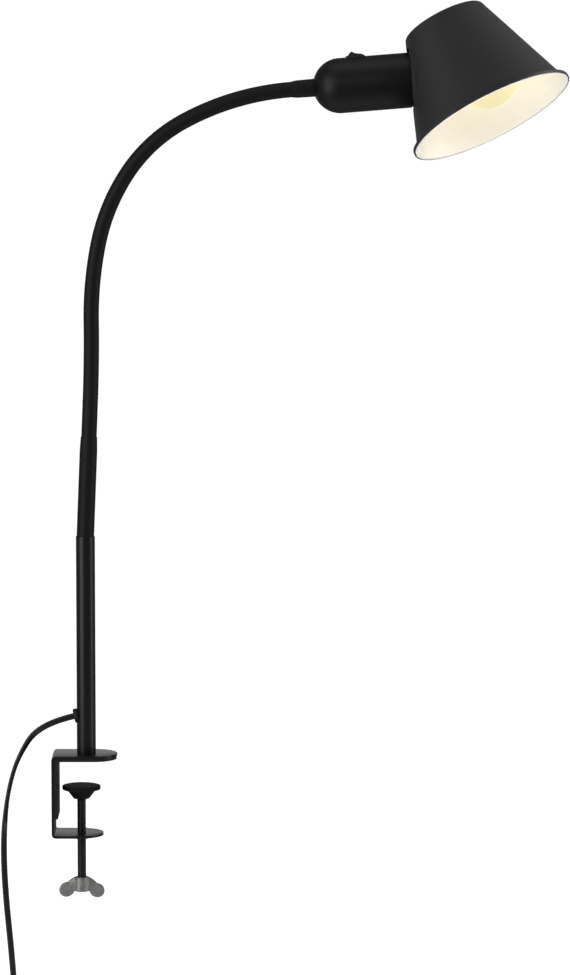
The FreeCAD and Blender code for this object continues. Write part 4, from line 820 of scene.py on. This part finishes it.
def seat_solid(name, radius, low, high, soft, index):
    """A round block about the housing's axis with soft edges, between two heights measured from the seat."""
    corners = [(0.0, SEAT_Z + low), (radius, SEAT_Z + low), (radius, SEAT_Z + high), (0.0, SEAT_Z + high)]
    return closed_solid(name, softened(corners, [0, soft, 0.01, 0], 6, closed=False), head_place, 144, index)


shade_shell = closed_solid("pressed_shade", np.r_[outer_profile, [(0.0, 81.5)]], shade_place, 200, BLACK, WHITE)
combine(shade_shell, seat_solid("seat_boss", 23.8, 0.0, 13.0, 0.8, BLACK), "UNION")
combine(shade_shell, seat_solid("seat_trim", 23.78, -25.0, 0.03, 0.0, BLACK), "DIFFERENCE")
hollow = closed_solid("shade_hollow", np.r_[hollow_profile, [(0.0, 84.0)]], shade_place, 200, WHITE)
combine(hollow, seat_solid("seat_guard", 24.45, -25.3, 1.0, 0.0, WHITE), "DIFFERENCE")
combine(hollow, seat_solid("seat_hollow", 23.0, 0.97, 14.0, 0.5, WHITE), "UNION")
combine(shade_shell, hollow, "DIFFERENCE")
combine(shade_shell, seat_solid("shade_hole", 17.1, -5.0, 5.0, 0.0, BLACK), "DIFFERENCE")
tidy_mesh(shade_shell.data, 24.0)
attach(shade_shell, "shade")
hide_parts("shade")
shade_index = np.empty(len(shade_shell.data.polygons), dtype=np.int32)
shade_shell.data.polygons.foreach_get("material_index", shade_index)
print("shade: %d black faces and %d white ones" % ((shade_index == BLACK).sum(), (shade_index == WHITE).sum()))

# %% [markdown]
# ## Finishes
# Each finish is a small recipe of nodes. Paint and plastic are never one flat colour: a broad noise shifts the
# colour a little, and a fine noise shifts the roughness and lifts the surface by some hundredths of a millimetre,
# which is the orange peel of paint or the grain of a mould. Patterns read Object coordinates, in metres.

# %% Finish recipe


def finish(name, colour, roughness, metallic=0.0, grain=900.0, lift=0.00002, shift=0.12, rough_shift=0.08,
           sheen=0.0, specular=0.5, emission=None, strength=0.0, blot=40.0):
    """A principled surface. Colour wavers by shift with the noise blot, roughness and height with the noise grain."""
    made = bpy.data.materials.get(name) or bpy.data.materials.new(name)
    made.use_nodes = True
    nodes, links = made.node_tree.nodes, made.node_tree.links
    nodes.clear()

    def node(kind, **values):
        new = nodes.new("ShaderNode" + kind)
        for key, value in values.items():
            new.inputs[key.replace("_", " ")].default_value = value
        return new

    where = node("TexCoord")
    fine = node("TexNoise", Scale=grain, Detail=3.0)
    broad = node("TexNoise", Scale=blot, Detail=4.0)
    tint = nodes.new("ShaderNodeMix")
    tint.data_type = "RGBA"
    tint.inputs["A"].default_value = [c * (1 - shift) for c in colour] + [1.0]
    tint.inputs["B"].default_value = [min(1.0, c * (1 + shift)) for c in colour] + [1.0]
    span = node("MapRange", To_Min=max(0.02, roughness - rough_shift), To_Max=min(1.0, roughness + rough_shift))
    bump = node("Bump", Distance=lift, Strength=1.0)
    surface = node("BsdfPrincipled", Metallic=metallic, Sheen_Weight=sheen, Specular_IOR_Level=specular)
    if emission is not None:
        surface.inputs["Emission Color"].default_value = list(emission) + [1.0]
        surface.inputs["Emission Strength"].default_value = strength
    out = node("OutputMaterial")
    for source, result, target, socket in (
        (where, "Object", fine, "Vector"), (where, "Object", broad, "Vector"), (broad, "Fac", tint, "Factor"),
        (tint, "Result", surface, "Base Color"), (fine, "Fac", span, "Value"), (span, "Result", surface, "Roughness"),
        (fine, "Fac", bump, "Height"), (bump, "Normal", surface, "Normal"), (surface, "BSDF", out, "Surface"),
    ):
        links.new(source.outputs[result], target.inputs[socket])
    return made


def wear(piece, *finishes):
    """Gives a piece its finishes, in the order of its slots."""
    slots = piece.data.materials
    for number, one in enumerate(finishes):
        if number < len(slots):
            slots[number] = one
        else:
            slots.append(one)


satin_steel = finish("black_satin_paint", (0.006, 0.006, 0.006), 0.33, grain=1400, lift=0.00001, blot=60)
shade_outside = finish("shade_black_outside", (0.026, 0.0255, 0.0255), 0.62, grain=1800, lift=0.000015, blot=30,
                       specular=0.4)
shade_inside = finish("shade_white_inside", (0.86, 0.84, 0.79), 0.45, grain=900, lift=0.000008, shift=0.02)
housing_paint = finish("housing_black_paint", (0.004, 0.004, 0.004), 0.44, grain=1600, lift=0.00001, blot=45,
                       specular=0.42)
moulded_black = finish("black_moulded_plastic", (0.012, 0.012, 0.012), 0.5, grain=2200, lift=0.00002)
shrunk_sheath = finish("black_sheath", (0.007, 0.007, 0.007), 0.55, grain=1300, lift=0.00003, specular=0.32)
cord_skin = finish("black_cord_skin", (0.010, 0.010, 0.010), 0.25, grain=2600, lift=0.000005, blot=120, specular=0.7)
foot_plastic = finish("black_foot_plastic", (0.014, 0.014, 0.014), 0.7, grain=1500, lift=0.00006, specular=0.16)
strap_cloth = finish("strap_cloth", (0.016, 0.016, 0.017), 0.85, grain=3200, lift=0.0001, sheen=0.3)
bare_casting = finish("grey_casting", (0.41, 0.41, 0.40), 0.50, metallic=0.85, grain=1100, lift=0.00016, shift=0.3,
                      rough_shift=0.14, blot=260)
black_oxide = finish("black_oxide_thread", (0.009, 0.009, 0.009), 0.34, metallic=0.2, grain=1500, lift=0.00001)
bright_steel = finish("plated_steel", (0.55, 0.55, 0.54), 0.28, metallic=1.0, grain=800, lift=0.00001, shift=0.08)
plain_brass = finish("plain_brass", (0.72, 0.53, 0.24), 0.3, metallic=1.0, grain=900, lift=0.00001)
cap_metal = finish("cap_metal", (0.75, 0.74, 0.71), 0.32, metallic=1.0, grain=700, lift=0.00001)
white_moulded = finish("white_moulded_plastic", (0.78, 0.76, 0.71), 0.4, grain=1400, lift=0.00001, shift=0.03)
lit_glass = finish("lit_frosted_glass", (0.92, 0.80, 0.45), 0.5, grain=600, lift=0.00001, shift=0.03,
                   specular=0.15, emission=(1.0, 0.925, 0.55), strength=0.60)
print("finishes:", len(bpy.data.materials))

# %% Who wears what


def carried(names):
    """The frame's own nodes of these names, which the scene keeps as they are."""
    return [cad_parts[name] for name in names.split()]


for one, worn in (
    (satin_steel, [steel_bracket, collar_ring, pole]),
    (moulded_black, [plug_shell, table_liner, bush, switch_rim, rocker_key, washer]),
    (cord_skin, [flat_cord, boot] + neck_pieces["lead"] + carried("lead_0")),
    (shrunk_sheath, [lower_neck_sleeve, upper_neck_sleeve] + neck_pieces["sheath"]),
    (bright_steel, neck_pieces["hose"] + carried("pole_screw pole_insert hose_ferrule rocker_pin")),
    (plain_brass, carried("hose_nipple nipple_nut terminal_screw_1 terminal_screw_2 centre_contact "
                          "switch_terminal_1 switch_terminal_2")),
    (cap_metal, [bulb_screw_cap] + carried("socket_thread bulb_contact")),
    (white_moulded, [threaded_collar, clamping_ring]),
    (strap_cloth, [cord_strap]),
    (black_oxide, [threaded_screw]),
    (foot_plastic, [foot]),
    (bare_casting, [cast_wing_nut]),
    (housing_paint, [shell]),
    (lit_glass, [globe]),
):
    for piece in worn:
        wear(piece, one)
for pin in pins:
    wear(pin, bright_steel, moulded_black)
wear(shade_shell, shade_outside, shade_inside)

# %% [markdown]
# ## Studio
# The photograph has a plain white surround. A pale floor runs up into a pale wall far behind, wide enough
# for a camera on any side. The light comes from big soft panels: one each side, which draw the two long
# glints down the pole, one above, and weak ones in front, behind and below. Three more light the shade only:
# one into its mouth, where the lit bulb makes the white inside brighter than the studio does, and one from
# each side, which give its two soft vertical glints. The surround lights nothing, so its size doesn't matter.

# %% Floor, wall and lights


def surround():
    """A level floor, a quarter turn up into an upright wall, and a cap on top, turned all the way round."""
    floor_z, floor_reach, bend_radius, wall_top, cap_top = -450.0, 9600.0, 2000.0, 10000.0, 12500.0
    bend = arc(floor_z + bend_radius, bend_radius, 180, 90) + (floor_reach, 0.0)
    profile = np.concatenate([[(0.0, floor_z)], bend, [(floor_reach + bend_radius, wall_top), (0.0, cap_top)]])
    return grid_mesh("pale_surround", turned_points(profile, columns=96))


floor = in_scene("pale_surround", surround())
wear(floor, finish("pale_surround", (0.93, 0.93, 0.93), 0.9, grain=4, blot=1, shift=0.0, lift=0.0,
                   emission=(1, 1, 1), strength=0.9))
floor.visible_diffuse = floor.visible_glossy = floor.visible_transmission = floor.visible_shadow = False


def panel(name, place, aim, width, height, power, only=None):
    """A soft rectangular light of a given size that faces a point, with its power in watts, or for one piece only."""
    light = bpy.data.lights.new(name, "AREA")
    light.shape = "RECTANGLE"
    light.size, light.size_y = width, height
    light.energy = power
    lamp = in_scene(name, light)
    lamp.location = place
    toward = np.array(aim, float) - np.array(place, float)
    level = math.hypot(toward[0], toward[1])
    lamp.rotation_euler = (math.atan2(level, -toward[2]), 0.0, math.atan2(-toward[0], toward[1]))
    lamp.visible_camera = False
    if only is not None:
        lit = bpy.data.collections.new(name + "_receives")
        lit.objects.link(only)
        lamp.light_linking.receiver_collection = lit
    return lamp


centre = (0.12, 0.0, 0.2)
mouth = (shade_place.origin + 78.0 * shade_way) * MM
panel("left_panel", (-1.6, -1.35, 0.55), centre, 1.4, 2.4, 17)
panel("right_panel", (2.2, -0.4, 0.35), centre, 0.9, 2.4, 9)
panel("top_panel", (0.1, -0.2, 2.3), centre, 2.0, 1.4, 5)
panel("front_panel", (-0.3, -3.0, 1.6), centre, 1.6, 1.6, 4)
panel("back_panel", (0.1, 2.3, 0.5), centre, 2.4, 0.9, 4)
panel("under_panel", (0.1, -0.2, -0.43), (0.1, 0.0, 0.5), 2.0, 1.0, 1.8)
panel("mouth_panel", mouth + (-0.27, -0.15, 0.0) + shade_way * 0.92, mouth, 0.45, 0.45, 6.2, only=shade_shell)
panel("shade_right_panel", (1.1, 0.1, 0.86), mouth, 0.5, 0.5, 6.0, only=shade_shell)
panel("shade_left_panel", (-1.4, -0.12, 1.25), mouth, 0.3, 0.35, 2.9, only=shade_shell)
filament = bpy.data.lights.new("filament", "POINT")
filament.energy = 0.15
filament.color = (1.0, 0.8, 0.5)
filament.shadow_soft_size = 0.018
glow = in_scene("filament", filament)
glow.location = (head_place.put(np.array([0.0, 0.0, GLOBE_Z])) * MM).tolist()
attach(glow, "head")
globe.visible_shadow = False
world = bpy.data.worlds.new("surround")
bpy.context.scene.world = world
world.use_nodes = True
background = world.node_tree.nodes["Background"].inputs
background["Color"].default_value = (1.0, 1.0, 1.0, 1.0)
background["Strength"].default_value = 0.14
bpy.context.scene.view_settings.view_transform = "Standard"
